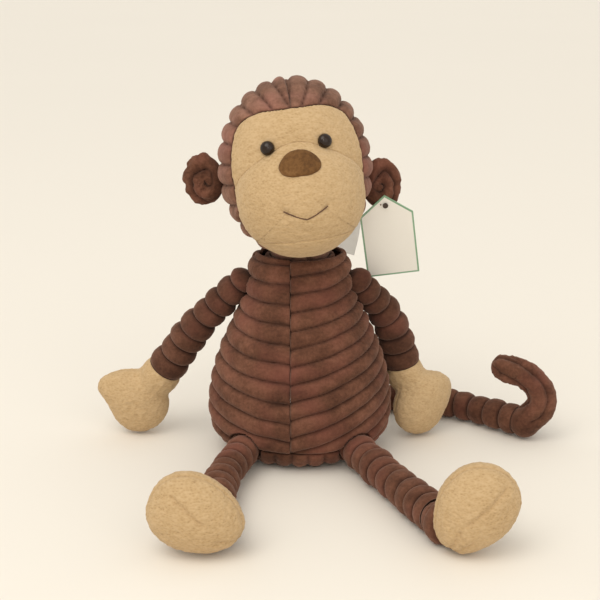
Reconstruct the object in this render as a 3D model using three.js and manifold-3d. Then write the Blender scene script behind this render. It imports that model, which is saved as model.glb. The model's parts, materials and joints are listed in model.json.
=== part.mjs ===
// A seated plush monkey sewn from wide-cord plush and tan fleece.
// Millimetres, +Z up. The toy faces -Y, its own left side is +X, and the origin is the
// centre of the flat seat under the torso.
import * as THREE from 'three';
import { mergeVertices } from 'three/addons/utils/BufferGeometryUtils.js';
import Module from 'manifold-3d';

const wasm = await Module();
wasm.setup();

const vec = (x, y, z) => new THREE.Vector3(x, y, z);
const degrees = THREE.MathUtils.degToRad;

// ---- cloth and fits -------------------------------------------------------------------
const cordWall = 2.2;          // wide-cord plush with its backing
const fleeceWall = 1.8;        // tan fleece
const seamGap = 0.4;           // between sewn panels, and between cloth and filling
const limbGap = 0.8;           // between a bent sleeve and its filling
const jointGap = 0.9;          // around every ball end that turns in its neighbour
const armClearance = 1.8;      // between a sleeve and the torso's edge as the arm swings up

// ---- torso ----------------------------------------------------------------------------
const seatRadius = 34;
const bellyHalfWidth = 58;
const bellyHeight = 36;
const baseHalfWidth = 54;      // at the seam round the seat
const waistHalfWidth = 50.5;
const waistHeight = 71.5;
const chestHalfWidth = 39;
const chestHeight = 99;
const collarHalfWidth = 31;
const collarDrop = 9;          // from the torso's top down to its widest collar
const torsoHeight = 137;
const torsoDepthRatio = 0.84;  // front-to-back depth over width
const torsoLean = 3;           // how far the neck sits behind the seat's centre
const baseSeamHeight = 14;
const frontSeamX = -6;
const sideSeamY = 7;
const beanBagHeight = 30;

// ---- joints' pivots -------------------------------------------------------------------
const neckRise = 11;           // the neck's pivot above the torso's top
const neckPivot = vec(0, torsoLean, torsoHeight + neckRise);
const neckBallRadius = 24.4;
const neckRollWall = 1.4;      // rolled seam allowance between the head and the torso
const neckRollHeight = 8;
const neckRollDrop = 5;        // from the torso's top down to the roll's upper edge
const shoulderInset = 1;       // the shoulder's pivot inside the chest's half width
const shoulderDrop = 23;       // and below the torso's top
const shoulder = vec(chestHalfWidth - shoulderInset, 2, torsoHeight - shoulderDrop);
const bellyHalfDepth = bellyHalfWidth * torsoDepthRatio;
const hipInset = 22;           // the hip's pivot inside the belly's half width
const hipSetback = 14.72;      // and behind the belly's front
const legLift = 2.5;           // a leg's underside above the floor at the hip
const legRadius = { near: 11, far: 11.5 };
const hip = vec(bellyHalfWidth - hipInset, hipSetback - bellyHalfDepth, legRadius.near + legLift);
const tailRoot = vec(0, bellyHalfDepth + 0.28, 19);

// ---- head, in its own frame -----------------------------------------------------------
const headTurn = degrees(5);
const headRoll = degrees(-6.5);
const headPitch = degrees(-5);
const headHalfWidth = 45.5;
const headHalfDepth = 42;
const headHalfHeight = 54;
const neckDepth = 12;          // the neck's pivot above the head's lowest point
const headCentre = vec(-3, torsoLean - 9, neckPivot.z + headHalfHeight - neckDepth);
const muzzleHalfWidth = 38.5;
const muzzleHalfDepth = 34;
const muzzleHalfHeight = 36.5;
const chinLift = 2.5;          // the muzzle's lowest point above the head's
const muzzleCentre = vec(0, -22, muzzleHalfHeight + chinLift - headHalfHeight);
const faceSeamY = -12;        // the face's fleece ends under the chin here
const faceMargin = 6;          // cord plush beside the face
const faceDrop = 15.5;         // and above it
const faceHalfWidth = headHalfWidth - faceMargin;
const faceTopZ = headHalfHeight - faceDrop;
const faceFlank = [
  [faceHalfWidth - 5.5, -headHalfHeight - 10],
  [faceHalfWidth - 1.5, muzzleCentre.z - 7],
  [faceHalfWidth, 0],
  [faceHalfWidth - 1.5, 17],
  [faceHalfWidth - 7.5, faceTopZ - 7.5],
  [faceHalfWidth - 19.5, faceTopZ - 1],
  [0, faceTopZ],
];
const browCornerX = faceHalfWidth - 9.5; // the face's upper edge runs between its corners
const chinSeamZ = -39;
const muzzleSeamTop = 19.5;
const muzzleSeamShoulder = [17, 12.5];
const muzzleSeamEnd = [faceHalfWidth - 0.5, -2];
const eyeX = 17;
const eyeZ = 17.5;
const eyeRadius = 4.2;
const eyeRise = 3;             // the dome's height
const eyeStandoff = 1;         // between its flat back and the curved cloth
const shankRadius = 1.5;
const shankLength = 9;
const washerRadius = 6;
const washerThickness = 1.2;
const washerClearance = 0.8;   // below the cloth
const washerTilt = 0.2;        // how steeply the cloth curves away over a washer's rim
const washerSettle = washerClearance + washerTilt * washerRadius;
const noseHalfWidth = 12.2;
const noseTopZ = 14;
const noseBottomZ = 0.5;
const noseThickness = 1.6;
const noseBaseHalfWidth = 5.5; // its straight lower edge
const noseBrowX = 9.8;         // its upper corners' pull
const noseSag = 1.2;           // its lower edge's bow
const mouthHalfWidth = 12.8;
const mouthZ = -24.5;
const mouthCurl = 6;
const mouthBow = 1.3;          // 1 is a V, 2 a round smile
const mouthSteps = 6;
const threadRadius = 0.7;

// ---- ears -----------------------------------------------------------------------------
const earHalfWidth = 12.5;
const earHalfDepth = 7;
const earHalfHeight = 16;
const earY = 14;
const earZ = { left: -19, right: -2 };   // the left ear is sewn on lower
const earGap = 0.9;

// ---- limbs ----------------------------------------------------------------------------
const armRadius = { near: 9.5, far: 13.5 };
const rimSetback = 0.55;        // a sleeve stops this share of its radius before the pivot
const tailRadius = { near: 8, bend: 10.5, tip: 8.5 };
const legRise = 0.5;           // a leg's underside above the floor at its bend
const ankleRise = 1.1;         // and at the ankle
const armBend = { left: vec(58.5, 17, 84), right: vec(-66, 11, 83) };
const wrist = { left: vec(70, 24, 45), right: vec(-94, 23, 43) };
const kneeZ = legRadius.far + legRise;
const legBend = { left: vec(57, -80, kneeZ), right: vec(-48, -82, kneeZ) };
const ankleZ = legRadius.far + ankleRise;
const ankle = { left: vec(80, -131, ankleZ), right: vec(-48, -133, ankleZ) };
const tailRoute = [vec(34, 66, 12), vec(72, 66, 9.5), vec(108, 53, 10), vec(134, 32, 11)];
const tailBend = vec(152, 16, 11.5);
const tailCurl = [vec(161, 12, 24), vec(160, 10, 36), vec(150, 9.5, 47)];
const tailTip = vec(135, 10, 52.5);
const tailGatherRadius = 4;    // the gathered hole that closes the tail's end

// ---- hands and feet -------------------------------------------------------------------
const palm = { halfWidth: 21, halfDepth: 12.5, halfLength: 22 };
const palmLift = 0.6;          // a hand's underside above the floor
const palmZ = palm.halfLength + palmLift;
const palmCentre = { left: vec(81, 21, palmZ), right: vec(-109, 25, palmZ) };
const thumb = { halfWidth: 15, halfDepth: 8, halfLength: 9.5 };
const thumbAt = { left: vec(8.5, 0, 11), right: vec(-13, 0, 11.5) };
const handTurn = { left: degrees(28), right: degrees(0) };
const foot = { halfLength: 28, halfWidth: 22.5, halfDepth: 16 };
const footCentre = { left: vec(96, -147, 27), right: vec(-57, -148, 24.4) };
const toeLean = { left: degrees(31), right: degrees(-66) };

// ---- labels ---------------------------------------------------------------------------
const tagHalfWidth = 17;
const tagSide = 45;
const tagGable = 14;
const tagThickness = 0.8;
const tagHoleRadius = 1.1;
const tagHoleDrop = 7;         // from the gable's point to the hole
const tagFromEar = vec(3.14, -5.55, -12); // from the left ear's centre to the tag's hole
const tagLean = degrees(16);   // its foot hangs further back than its hole
const tagSlant = degrees(-8);
const filamentRadius = 0.45;
const paddleRadius = 1.8;
const paddleThickness = 0.9;
const barbHalfLength = 3.5;
const barbRadius = 0.7;
const barbDepth = 9;           // behind the card, inside the ear
const ribbonWidth = 14;
const ribbonThickness = 1;
const ribbonTop = vec(collarHalfWidth, 0, torsoHeight);
const ribbonRoute = [vec(-2, 26, -10), vec(1, 30, 2), vec(3, 32, 15)]
  .map((point) => point.add(ribbonTop));

// ---- facets ---------------------------------------------------------------------------
const bodyFacets = 16;
const bodyRings = 7;
const limbFacets = 8;
const limbStep = 16;
const capRings = 3;
const pawFacets = 10;
const pawRings = 6;
const ballFacets = 12;
const neckFacets = 16;
const turnedFacets = 8;
const curveSamples = 12;
const steepShare = 0.6;        // a curve that rises more than this of its length climbs
const holeFacets = 6;
const ribbonSteps = 8;

// ---- solids ---------------------------------------------------------------------------

// turns a closed three.js geometry into a solid with its faces pointing out
function solid(geometry) {
  const bare = new THREE.BufferGeometry();
  bare.setAttribute('position', geometry.getAttribute('position').clone());
  if (geometry.index) bare.setIndex(geometry.index.clone());
  const merged = mergeVertices(bare, 1e-4);
  const vertProperties = new Float32Array(merged.getAttribute('position').array);
  const corner = (i) => vec(...vertProperties.slice(3 * i, 3 * i + 3));
  const triangles = [];
  let volume = 0;
  for (let i = 0; i < merged.index.count; i += 3) {
    const [a, b, c] = [0, 1, 2].map((k) => merged.index.getX(i + k));
    if (a === b || b === c || a === c) continue;
    triangles.push([a, b, c]);
    volume += corner(a).dot(corner(b).cross(corner(c)));
  }
  if (volume < 0) triangles.forEach((t) => t.reverse());
  const triVerts = new Uint32Array(triangles.flat());
  return new wasm.Manifold(new wasm.Mesh({ numProp: 3, vertProperties, triVerts }));
}

function meshGeometry(body) {
  const mesh = body.getMesh();
  const geometry = new THREE.BufferGeometry();
  geometry.setAttribute('position', new THREE.BufferAttribute(mesh.vertProperties, 3));
  geometry.setIndex(new THREE.BufferAttribute(mesh.triVerts, 1));
  geometry.computeVertexNormals();
  return geometry;
}

function ellipsoid(centre, half, facets = pawFacets, rings = pawRings) {
  const geometry = new THREE.SphereGeometry(1, facets, rings).rotateX(Math.PI / 2);
  geometry.scale(half.x, half.y, half.z).translate(centre.x, centre.y, centre.z);
  return solid(geometry);
}

function ball(centre, radius, facets = ballFacets) {
  return ellipsoid(centre, vec(radius, radius, radius), facets, facets / 2);
}

function box(low, high) {
  const size = high.clone().sub(low);
  const middle = high.clone().add(low).multiplyScalar(0.5);
  return solid(new THREE.BoxGeometry(size.x, size.y, size.z).translate(...middle.toArray()));
}

// everything on one side of a plane across one axis
const reach = 400;
function side(axis, from, to) {
  const low = vec(-reach, -reach, -reach);
  const high = vec(reach, reach, reach);
  low[axis] = from ?? -reach;
  high[axis] = to ?? reach;
  return box(low, high);
}

const above = (axis, at) => side(axis, at + seamGap / 2, undefined);
const below = (axis, at) => side(axis, undefined, at - seamGap / 2);

// moves an open profile inwards by its normals; both of its ends stay on the axis
function insetProfile(points, inset) {
  return points.map((point, i) => {
    const before = points[Math.max(i - 1, 0)];
    const after = points[Math.min(i + 1, points.length - 1)];
    const along = after.clone().sub(before).normalize();
    const moved = point.clone().add(new THREE.Vector2(-along.y, along.x).multiplyScalar(inset));
    if (i === 0) moved.set(0, point.y + inset);
    if (i === points.length - 1) moved.set(0, point.y - inset);
    return new THREE.Vector2(Math.max(moved.x, 0), moved.y);
  });
}

// ---- materials ------------------------------------------------------------------------
const finish = (color, roughness) => () =>
  new THREE.MeshStandardMaterial({ color, roughness, metalness: 0 });
const cordPlush = finish('#5a3a2c', 0.95);
const tanFleece = finish('#c9a672', 0.95);
const fibreFilling = finish('#eeeae0', 1);
const pelletFilling = finish('#d8d2c4', 0.8);
const suede = finish('#815732', 0.9);
const thread = finish('#6d4a2e', 0.8);
const eyePlastic = finish('#1c100b', 0.12);
const washerPlastic = finish('#e8e8e4', 0.5);
const tagCard = finish('#dfd9cb', 0.7);
const clearNylon = finish('#e4e6e6', 0.3);
const labelSatin = finish('#f2efe8', 0.5);

const monkey = new THREE.Group();

function piece(name, body, material, parent = monkey) {
  const mesh = new THREE.Mesh(meshGeometry(body), material());
  mesh.name = name;
  parent.add(mesh);
}

function frameAt(position, rotation = new THREE.Euler()) {
  const frame = new THREE.Group();
  frame.position.copy(position);
  frame.rotation.copy(rotation);
  frame.updateMatrixWorld(true);
  monkey.add(frame);
  return frame;
}

const sides = { left: 1, right: -1 };
const mirrored = (point, sign) => vec(point.x * sign, point.y, point.z);

function limbCurve(name, kind) {
  const route = {
    arm: [mirrored(shoulder, sides[name]), armBend[name], wrist[name]],
    leg: [mirrored(hip, sides[name]), legBend[name], ankle[name]],
  };
  return new THREE.CatmullRomCurve3(route[kind]);
}

const tailBase = new THREE.CatmullRomCurve3([tailRoot, ...tailRoute, tailBend]);
const tailBaseRadius = { near: tailRadius.near, far: tailRadius.bend };
const tailEnd = new THREE.CatmullRomCurve3([tailBend, ...tailCurl, tailTip]);
const tailEndRadius = { near: tailRadius.bend, far: tailRadius.tip };

// ---- torso ----------------------------------------------------------------------------
function torsoForm(inset) {
  const flank = new THREE.SplineCurve([
    new THREE.Vector2(seatRadius, 0),
    new THREE.Vector2(baseHalfWidth, baseSeamHeight),
    new THREE.Vector2(bellyHalfWidth, bellyHeight),
    new THREE.Vector2(waistHalfWidth, waistHeight),
    new THREE.Vector2(chestHalfWidth, chestHeight),
    new THREE.Vector2(collarHalfWidth, torsoHeight - collarDrop),
  ]);
  const outline = [new THREE.Vector2(0, 0), ...flank.getPoints(bodyRings)];
  outline.push(new THREE.Vector2(0, torsoHeight));
  const geometry = new THREE.LatheGeometry(insetProfile(outline, inset), bodyFacets);
  geometry.rotateX(Math.PI / 2).scale(1, torsoDepthRatio, 1);
  const position = geometry.getAttribute('position');
  for (let i = 0; i < position.count; i += 1) {
    position.setY(i, position.getY(i) + torsoLean * position.getZ(i) / torsoHeight);
  }
  return solid(geometry);
}

function buildTorso() {
  const openings = [
    ball(neckPivot, neckBallRadius + neckRollWall + 2 * jointGap, neckFacets),
    ball(tailRoot, tailRadius.near + jointGap),
    limbForm(tailBase, tailBaseRadius, -jointGap),
  ];
  for (const [name, sign] of Object.entries(sides)) {
    openings.push(ball(mirrored(shoulder, sign), armRadius.near + jointGap));
    openings.push(ball(mirrored(hip, sign), legRadius.near + jointGap));
    openings.push(limbForm(limbCurve(name, 'arm'), armRadius, -armClearance));
    openings.push(limbForm(limbCurve(name, 'leg'), legRadius, -jointGap));
  }
  const opened = (body) => openings.reduce((rest, opening) => rest.subtract(opening), body);

  const skin = opened(torsoForm(0).subtract(torsoForm(cordWall)));
  const upper = skin.intersect(above('z', baseSeamHeight));
  const front = upper.intersect(below('y', sideSeamY));
  const back = upper.intersect(above('y', sideSeamY));
  piece('torso_base', skin.intersect(below('z', baseSeamHeight)), cordPlush);
  piece('torso_front_left', front.intersect(above('x', frontSeamX)), cordPlush);
  piece('torso_front_right', front.intersect(below('x', frontSeamX)), cordPlush);
  piece('torso_back_left', back.intersect(above('x', 0)), cordPlush);
  piece('torso_back_right', back.intersect(below('x', 0)), cordPlush);

  const filling = opened(torsoForm(cordWall + seamGap));
  piece('torso_stuffing', filling.intersect(above('z', beanBagHeight)), fibreFilling);
  piece('bean_bag', filling.intersect(below('z', beanBagHeight)), pelletFilling);

  const roll = ball(neckPivot, neckBallRadius + neckRollWall + jointGap, neckFacets)
    .subtract(ball(neckPivot, neckBallRadius + jointGap, neckFacets));
  const rim = torsoHeight - neckRollDrop;
  piece('neck_seam', roll.intersect(side('z', rim - neckRollHeight, rim)), cordPlush);
}

// ---- head -----------------------------------------------------------------------------
const head = frameAt(headCentre, new THREE.Euler(headPitch, headRoll, headTurn, 'ZYX'));
const neckInHead = head.worldToLocal(neckPivot.clone());

const coreHalf = (inset) =>
  vec(headHalfWidth - inset, headHalfDepth - inset, headHalfHeight - inset);
const muzzleHalf = (inset) =>
  vec(muzzleHalfWidth - inset, muzzleHalfDepth - inset, muzzleHalfHeight - inset);

function headForm(inset) {
  return ellipsoid(vec(0, 0, 0), coreHalf(inset), bodyFacets, bodyRings)
    .add(ellipsoid(muzzleCentre, muzzleHalf(inset), bodyFacets, bodyRings))
    .add(ball(neckInHead, neckBallRadius - inset, neckFacets));
}

// depth of an ellipsoid's front surface at a given place
function frontOf(centre, half, x, z) {
  const across = (x - centre.x) / half.x;
  const up = (z - centre.z) / half.z;
  return centre.y - half.y * Math.sqrt(Math.max(0, 1 - across * across - up * up));
}

// a flat outline in the face's X and Z, pushed through the head along Y
function throughFace(shape) {
  const geometry = new THREE.ExtrudeGeometry(shape, { depth: reach, bevelEnabled: false });
  return solid(geometry.rotateX(Math.PI / 2));
}

// the face's edge, seen from the front; it runs on down past the chin
function faceOutline(grow) {
  const flank = faceFlank.map(([x, z]) =>
    new THREE.Vector2(x + Math.sign(x) * grow, z + (x < browCornerX ? grow : 0)));
  const edge = flank.slice(0, -1).map((point) => new THREE.Vector2(-point.x, point.y));
  edge.push(...flank.reverse());
  const shape = new THREE.Shape();
  shape.moveTo(edge[0].x, edge[0].y);
  shape.splineThru(edge.slice(1));
  shape.closePath();
  return throughFace(shape);
}

function muzzleArch(raise) {
  const [shoulderX, shoulderZ] = muzzleSeamShoulder;
  const [endX, endZ] = muzzleSeamEnd;
  const shape = new THREE.Shape();
  shape.moveTo(-reach / 2, -reach / 2);
  shape.lineTo(-reach / 2, endZ + raise);
  shape.lineTo(-endX, endZ + raise);
  shape.splineThru([
    new THREE.Vector2(-shoulderX, shoulderZ + raise),
    new THREE.Vector2(0, muzzleSeamTop + raise),
    new THREE.Vector2(shoulderX, shoulderZ + raise),
    new THREE.Vector2(endX, endZ + raise),
  ]);
  shape.lineTo(reach / 2, endZ + raise);
  shape.lineTo(reach / 2, -reach / 2);
  return throughFace(shape);
}

// an eye's place and outward direction on whichever form stands in front there
function eyeSeat(sign) {
  const x = sign * eyeX;
  const [core, muzzle] = [[vec(0, 0, 0), coreHalf(0)], [muzzleCentre, muzzleHalf(0)]]
    .map(([centre, half]) => ({ centre, half, y: frontOf(centre, half, x, eyeZ) }));
  const { centre, half, y } = core.y < muzzle.y ? core : muzzle;
  const at = vec(x, y, eyeZ);
  const outward = at.clone().sub(centre).divide(half).divide(half).normalize();
  return { at, outward };
}

function latheAt({ at, outward }, profile, facets = turnedFacets) {
  const geometry = new THREE.LatheGeometry(profile.map(([r, h]) => new THREE.Vector2(r, h)), facets);
  const turn = new THREE.Quaternion().setFromUnitVectors(vec(0, 1, 0), outward);
  geometry.applyQuaternion(turn).translate(at.x, at.y, at.z);
  return solid(geometry);
}

function rod(seat, radius, from, to, facets = turnedFacets) {
  return latheAt(seat, [[0, from], [radius, from], [radius, to], [0, to]], facets);
}

function buildEye(name, sign, cloth) {
  const seat = eyeSeat(sign);
  const base = eyeStandoff;
  const dome = [[0, base - shankLength], [shankRadius, base - shankLength], [shankRadius, base]];
  for (let i = 0; i <= capRings; i += 1) {
    const angle = (i / capRings) * Math.PI / 2;
    dome.push([eyeRadius * Math.cos(angle), base + eyeRise * Math.sin(angle)]);
  }
  dome[dome.length - 1][0] = 0;
  piece(`${name}_eye`, latheAt(seat, dome), eyePlastic, head);

  const under = -cloth - washerSettle;
  const washer = rod(seat, washerRadius, under - washerThickness, under)
    .subtract(rod(seat, shankRadius + seamGap, -shankLength * 2, shankLength));
  piece(`${name}_eye_washer`, washer, washerPlastic, head);
  return {
    hole: rod(seat, shankRadius + seamGap, -shankLength, shankLength),
    pocket: rod(seat, washerRadius + seamGap, -shankLength - seamGap, shankLength),
  };
}

function buildNose() {
  const middle = (noseTopZ + noseBottomZ) / 2;
  const outline = new THREE.Shape();
  outline.moveTo(-noseBaseHalfWidth, noseBottomZ);
  outline.quadraticCurveTo(0, noseBottomZ - noseSag, noseBaseHalfWidth, noseBottomZ);
  outline.quadraticCurveTo(noseHalfWidth, noseBottomZ + noseSag, noseHalfWidth, middle);
  outline.quadraticCurveTo(noseBrowX, noseTopZ, 0, noseTopZ);
  outline.quadraticCurveTo(-noseBrowX, noseTopZ, -noseHalfWidth, middle);
  outline.quadraticCurveTo(-noseHalfWidth, noseBottomZ + noseSag, -noseBaseHalfWidth, noseBottomZ);
  const rise = seamGap + noseThickness;
  const patch = headForm(-rise).subtract(headForm(-seamGap))
    .intersect(throughFace(outline))
    .intersect(below('y', faceSeamY))
    .intersect(above('z', noseBottomZ - noseHalfWidth));
  piece('nose_patch', patch, suede, head);
}

function buildMouth() {
  const half = muzzleHalf(-(threadRadius + seamGap));
  const points = [];
  for (let i = 0; i <= mouthSteps; i += 1) {
    const across = (2 * i) / mouthSteps - 1;
    const x = across * mouthHalfWidth;
    const z = mouthZ + mouthCurl * Math.abs(across) ** mouthBow;
    points.push(vec(x, frontOf(muzzleCentre, half, x, z), z));
  }
  const section = new THREE.Shape().absarc(0, 0, threadRadius, 0, 2 * Math.PI);
  const geometry = new THREE.ExtrudeGeometry(section, {
    steps: mouthSteps,
    curveSegments: 2,
    bevelEnabled: false,
    extrudePath: new THREE.CatmullRomCurve3(points),
  });
  piece('mouth_stitch', solid(geometry), thread, head);
}

function buildHead() {
  const left = buildEye('left', 1, fleeceWall);
  const right = buildEye('right', -1, fleeceWall);
  const clearOf = (body, key) => body.subtract(left[key]).subtract(right[key]);

  const skin = headForm(0).subtract(headForm(cordWall));
  const crown = skin.subtract(faceOutline(seamGap / 2).intersect(side('y', -reach, faceSeamY)));
  piece('crown_left', crown.intersect(above('x', 0)), cordPlush, head);
  piece('crown_right', crown.intersect(below('x', 0)), cordPlush, head);

  const face = clearOf(headForm(0).subtract(headForm(fleeceWall)), 'hole')
    .intersect(faceOutline(-seamGap / 2))
    .intersect(below('y', faceSeamY - seamGap / 2));
  const lower = face.intersect(muzzleArch(-seamGap / 2));
  piece('face_panel', face.subtract(muzzleArch(seamGap / 2)), tanFleece, head);
  piece('muzzle_panel', lower.intersect(above('z', chinSeamZ)), tanFleece, head);
  piece('chin_panel', lower.intersect(below('z', chinSeamZ)), tanFleece, head);

  piece('head_stuffing', clearOf(headForm(cordWall + seamGap), 'pocket'), fibreFilling, head);
  buildNose();
  buildMouth();
}

// ---- tag and its fastener -------------------------------------------------------------
function earCentre(name) {
  const z = earZ[name];
  const half = coreHalf(0);
  const root = half.x * Math.sqrt(1 - (earY / half.y) ** 2 - (z / half.z) ** 2);
  return vec(sides[name] * (root + earGap + earHalfWidth), earY, z);
}

const tagHole = head.localToWorld(earCentre('left')).add(tagFromEar);
const tagFrame = frameAt(tagHole, new THREE.Euler(tagLean, tagSlant, 0));

function buildTag() {
  const top = tagHoleDrop;
  const eaves = top - tagGable;
  const outline = new THREE.Shape();
  outline.moveTo(0, top);
  outline.lineTo(-tagHalfWidth, eaves);
  outline.lineTo(-tagHalfWidth, eaves - tagSide);
  outline.lineTo(tagHalfWidth, eaves - tagSide);
  outline.lineTo(tagHalfWidth, eaves);
  outline.closePath();
  outline.holes.push(new THREE.Path().absarc(0, 0, tagHoleRadius, 0, 2 * Math.PI, true));
  const geometry = new THREE.ExtrudeGeometry(outline, {
    depth: tagThickness,
    curveSegments: holeFacets,
    bevelEnabled: false,
  });
  piece('hang_tag', solid(geometry.rotateX(Math.PI / 2)), tagCard, tagFrame);
}

// the nylon pin: a paddle before the card, a filament through its hole, a barb in the ear
const tagSeat = { at: vec(0, 0, 0), outward: vec(0, -1, 0) };
function fastener(grow) {
  const front = tagThickness + seamGap;
  const paddle = rod(tagSeat, paddleRadius + grow, front - grow, front + paddleThickness + grow);
  const filament = rod(tagSeat, filamentRadius + grow, -barbDepth, front + grow);
  const barbSeat = { at: vec(0, barbDepth, 0), outward: vec(1, 0, 0) };
  const barb = rod(barbSeat, barbRadius + grow, -barbHalfLength - grow, barbHalfLength + grow);
  return paddle.add(filament).add(barb);
}

const fromTagToHead = new THREE.Matrix4()
  .copy(head.matrixWorld).invert().multiply(tagFrame.matrixWorld);

function inHeadFrame(body) {
  return solid(meshGeometry(body).applyMatrix4(fromTagToHead));
}

// ---- ears -----------------------------------------------------------------------------
function buildEar(name) {
  const centre = earCentre(name);
  const form = (inset) =>
    ellipsoid(centre, vec(earHalfWidth - inset, earHalfDepth - inset, earHalfHeight - inset));
  const pin = name === 'left' ? inHeadFrame(fastener(seamGap)) : undefined;
  const clear = (body) => (pin ? body.subtract(pin) : body);
  const skin = clear(form(0).subtract(form(cordWall)));
  piece(`${name}_ear_front`, skin.intersect(below('y', centre.y)), cordPlush, head);
  piece(`${name}_ear_back`, skin.intersect(above('y', centre.y)), cordPlush, head);
  piece(`${name}_ear_padding`, clear(form(cordWall + seamGap)), fibreFilling, head);
}

// ---- limbs ----------------------------------------------------------------------------

// lays a turned form along a curve: its axis follows the curve, and its facets keep their
// turn to whichever of the Y and Z axes the curve crosses most squarely
function bendAlong(geometry, curve) {
  const length = curve.getLength();
  const position = geometry.getAttribute('position');
  const climbs = curve.getPoints(curveSamples).some((point, i, all) => i > 0
    && Math.abs(point.z - all[i - 1].z) > steepShare * point.distanceTo(all[i - 1]));
  const reference = climbs ? vec(0, 1, 0) : vec(0, 0, 1);
  for (let i = 0; i < position.count; i += 1) {
    const along = position.getY(i);
    const share = THREE.MathUtils.clamp(along / length, 0, 1);
    const tangent = curve.getTangentAt(share);
    const across = vec(0, 0, 0).crossVectors(tangent, reference).normalize();
    const lift = vec(0, 0, 0).crossVectors(across, tangent);
    const point = curve.getPointAt(share)
      .addScaledVector(tangent, along - share * length)
      .addScaledVector(across, position.getX(i))
      .addScaledVector(lift, position.getZ(i));
    position.setXYZ(i, point.x, point.y, point.z);
  }
  return geometry;
}

// a tube of cloth or filling along a curve: its near end is round about the near pivot, and
// its far end is round, or flat where an end distance is given
function limbForm(curve, radius, inset, flatEnd) {
  const length = curve.getLength();
  const rings = Math.ceil(length / limbStep);
  const radiusAt = (along) =>
    THREE.MathUtils.lerp(radius.near, radius.far, along / length) - inset;
  const points = [];
  const arc = (r, centre, from, to) => {
    for (let i = 0; i <= capRings; i += 1) {
      const angle = degrees(from + ((to - from) * i) / capRings);
      points.push(new THREE.Vector2(r * Math.cos(angle), centre + r * Math.sin(angle)));
    }
  };
  arc(radiusAt(0), 0, -90, 0);
  for (let i = 1; i < rings; i += 1) {
    const along = (i / rings) * length;
    if (along < (flatEnd ?? length) - 1) points.push(new THREE.Vector2(radiusAt(along), along));
  }
  if (flatEnd) points.push(new THREE.Vector2(radiusAt(flatEnd), flatEnd));
  if (flatEnd) points.push(new THREE.Vector2(0, flatEnd));
  if (!flatEnd) arc(radiusAt(length), length, 0, 90);
  points[0].x = 0;
  points[points.length - 1].x = 0;
  return solid(bendAlong(new THREE.LatheGeometry(points, limbFacets), curve));
}

// a sleeve and its filling, hollowed at the far end for the ball that turns in it
function buildSocketedLimb(name, curve, radius, farPivot) {
  const socket = ball(farPivot, radius.far + jointGap);
  const length = curve.getLength();
  const rim = length - rimSetback * radius.far;
  const outer = limbForm(curve, radius, 0, rim);
  const hollow = limbForm(curve, radius, cordWall, length);
  piece(`${name}_sleeve`, outer.subtract(hollow).subtract(socket), cordPlush);
  const filling = limbForm(curve, radius, cordWall + limbGap, rim);
  piece(`${name}_stuffing`, filling.subtract(socket), fibreFilling);
}

// the last stretch of a limb, gathered to a small hole at its end
function buildGatheredLimb(name, curve, radius, farPivot) {
  const centre = farPivot.clone().addScaledVector(curve.getTangentAt(1), radius.far);
  const gather = ball(centre, tailGatherRadius);
  const skin = limbForm(curve, radius, 0).subtract(limbForm(curve, radius, cordWall));
  piece(`${name}_sleeve`, skin.subtract(gather), cordPlush);
  const filling = limbForm(curve, radius, cordWall + limbGap);
  piece(`${name}_stuffing`, filling.subtract(gather), fibreFilling);
}

// ---- hands ----------------------------------------------------------------------------
function buildHand(name) {
  const frame = frameAt(palmCentre[name], new THREE.Euler(0, 0, handTurn[name]));
  const cuff = frame.worldToLocal(wrist[name].clone());
  const form = (inset) => {
    const grip = vec(palm.halfWidth - inset, palm.halfDepth - inset, palm.halfLength - inset);
    const digit = vec(thumb.halfWidth - inset, thumb.halfDepth - inset, thumb.halfLength - inset);
    return ellipsoid(vec(0, 0, 0), grip)
      .add(ellipsoid(thumbAt[name], digit))
      .add(ball(cuff, armRadius.far - inset));
  };
  const skin = form(0).subtract(form(fleeceWall));
  piece(`${name}_hand_palm`, skin.intersect(below('y', 0)), tanFleece, frame);
  piece(`${name}_hand_back`, skin.intersect(above('y', 0)), tanFleece, frame);
  piece(`${name}_hand_stuffing`, form(fleeceWall + seamGap), fibreFilling, frame);
}

// ---- feet -----------------------------------------------------------------------------
function buildFoot(name) {
  const frame = frameAt(footCentre[name], new THREE.Euler(0, toeLean[name], 0));
  const heel = frame.worldToLocal(ankle[name].clone());
  const form = (inset) => {
    const pad = vec(foot.halfWidth - inset, foot.halfDepth - inset, foot.halfLength - inset);
    return ellipsoid(vec(0, 0, 0), pad).add(ball(heel, legRadius.far - inset));
  };
  const skin = form(0).subtract(form(fleeceWall));
  piece(`${name}_foot_sole`, skin.intersect(below('y', 0)), tanFleece, frame);
  piece(`${name}_foot_upper`, skin.intersect(above('y', 0)), tanFleece, frame);
  piece(`${name}_foot_beans`, form(fleeceWall + seamGap), pelletFilling, frame);
}

// ---- care label -----------------------------------------------------------------------
function buildLabel() {
  const half = ribbonWidth / 2;
  const section = new THREE.Shape();
  section.moveTo(-ribbonThickness / 2, -half);
  section.lineTo(ribbonThickness / 2, -half);
  section.lineTo(ribbonThickness / 2, half);
  section.lineTo(-ribbonThickness / 2, half);
  section.closePath();
  const geometry = new THREE.ExtrudeGeometry(section, {
    steps: ribbonSteps,
    bevelEnabled: false,
    extrudePath: new THREE.CatmullRomCurve3(ribbonRoute),
  });
  piece('care_label', solid(geometry), labelSatin);
}

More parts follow.
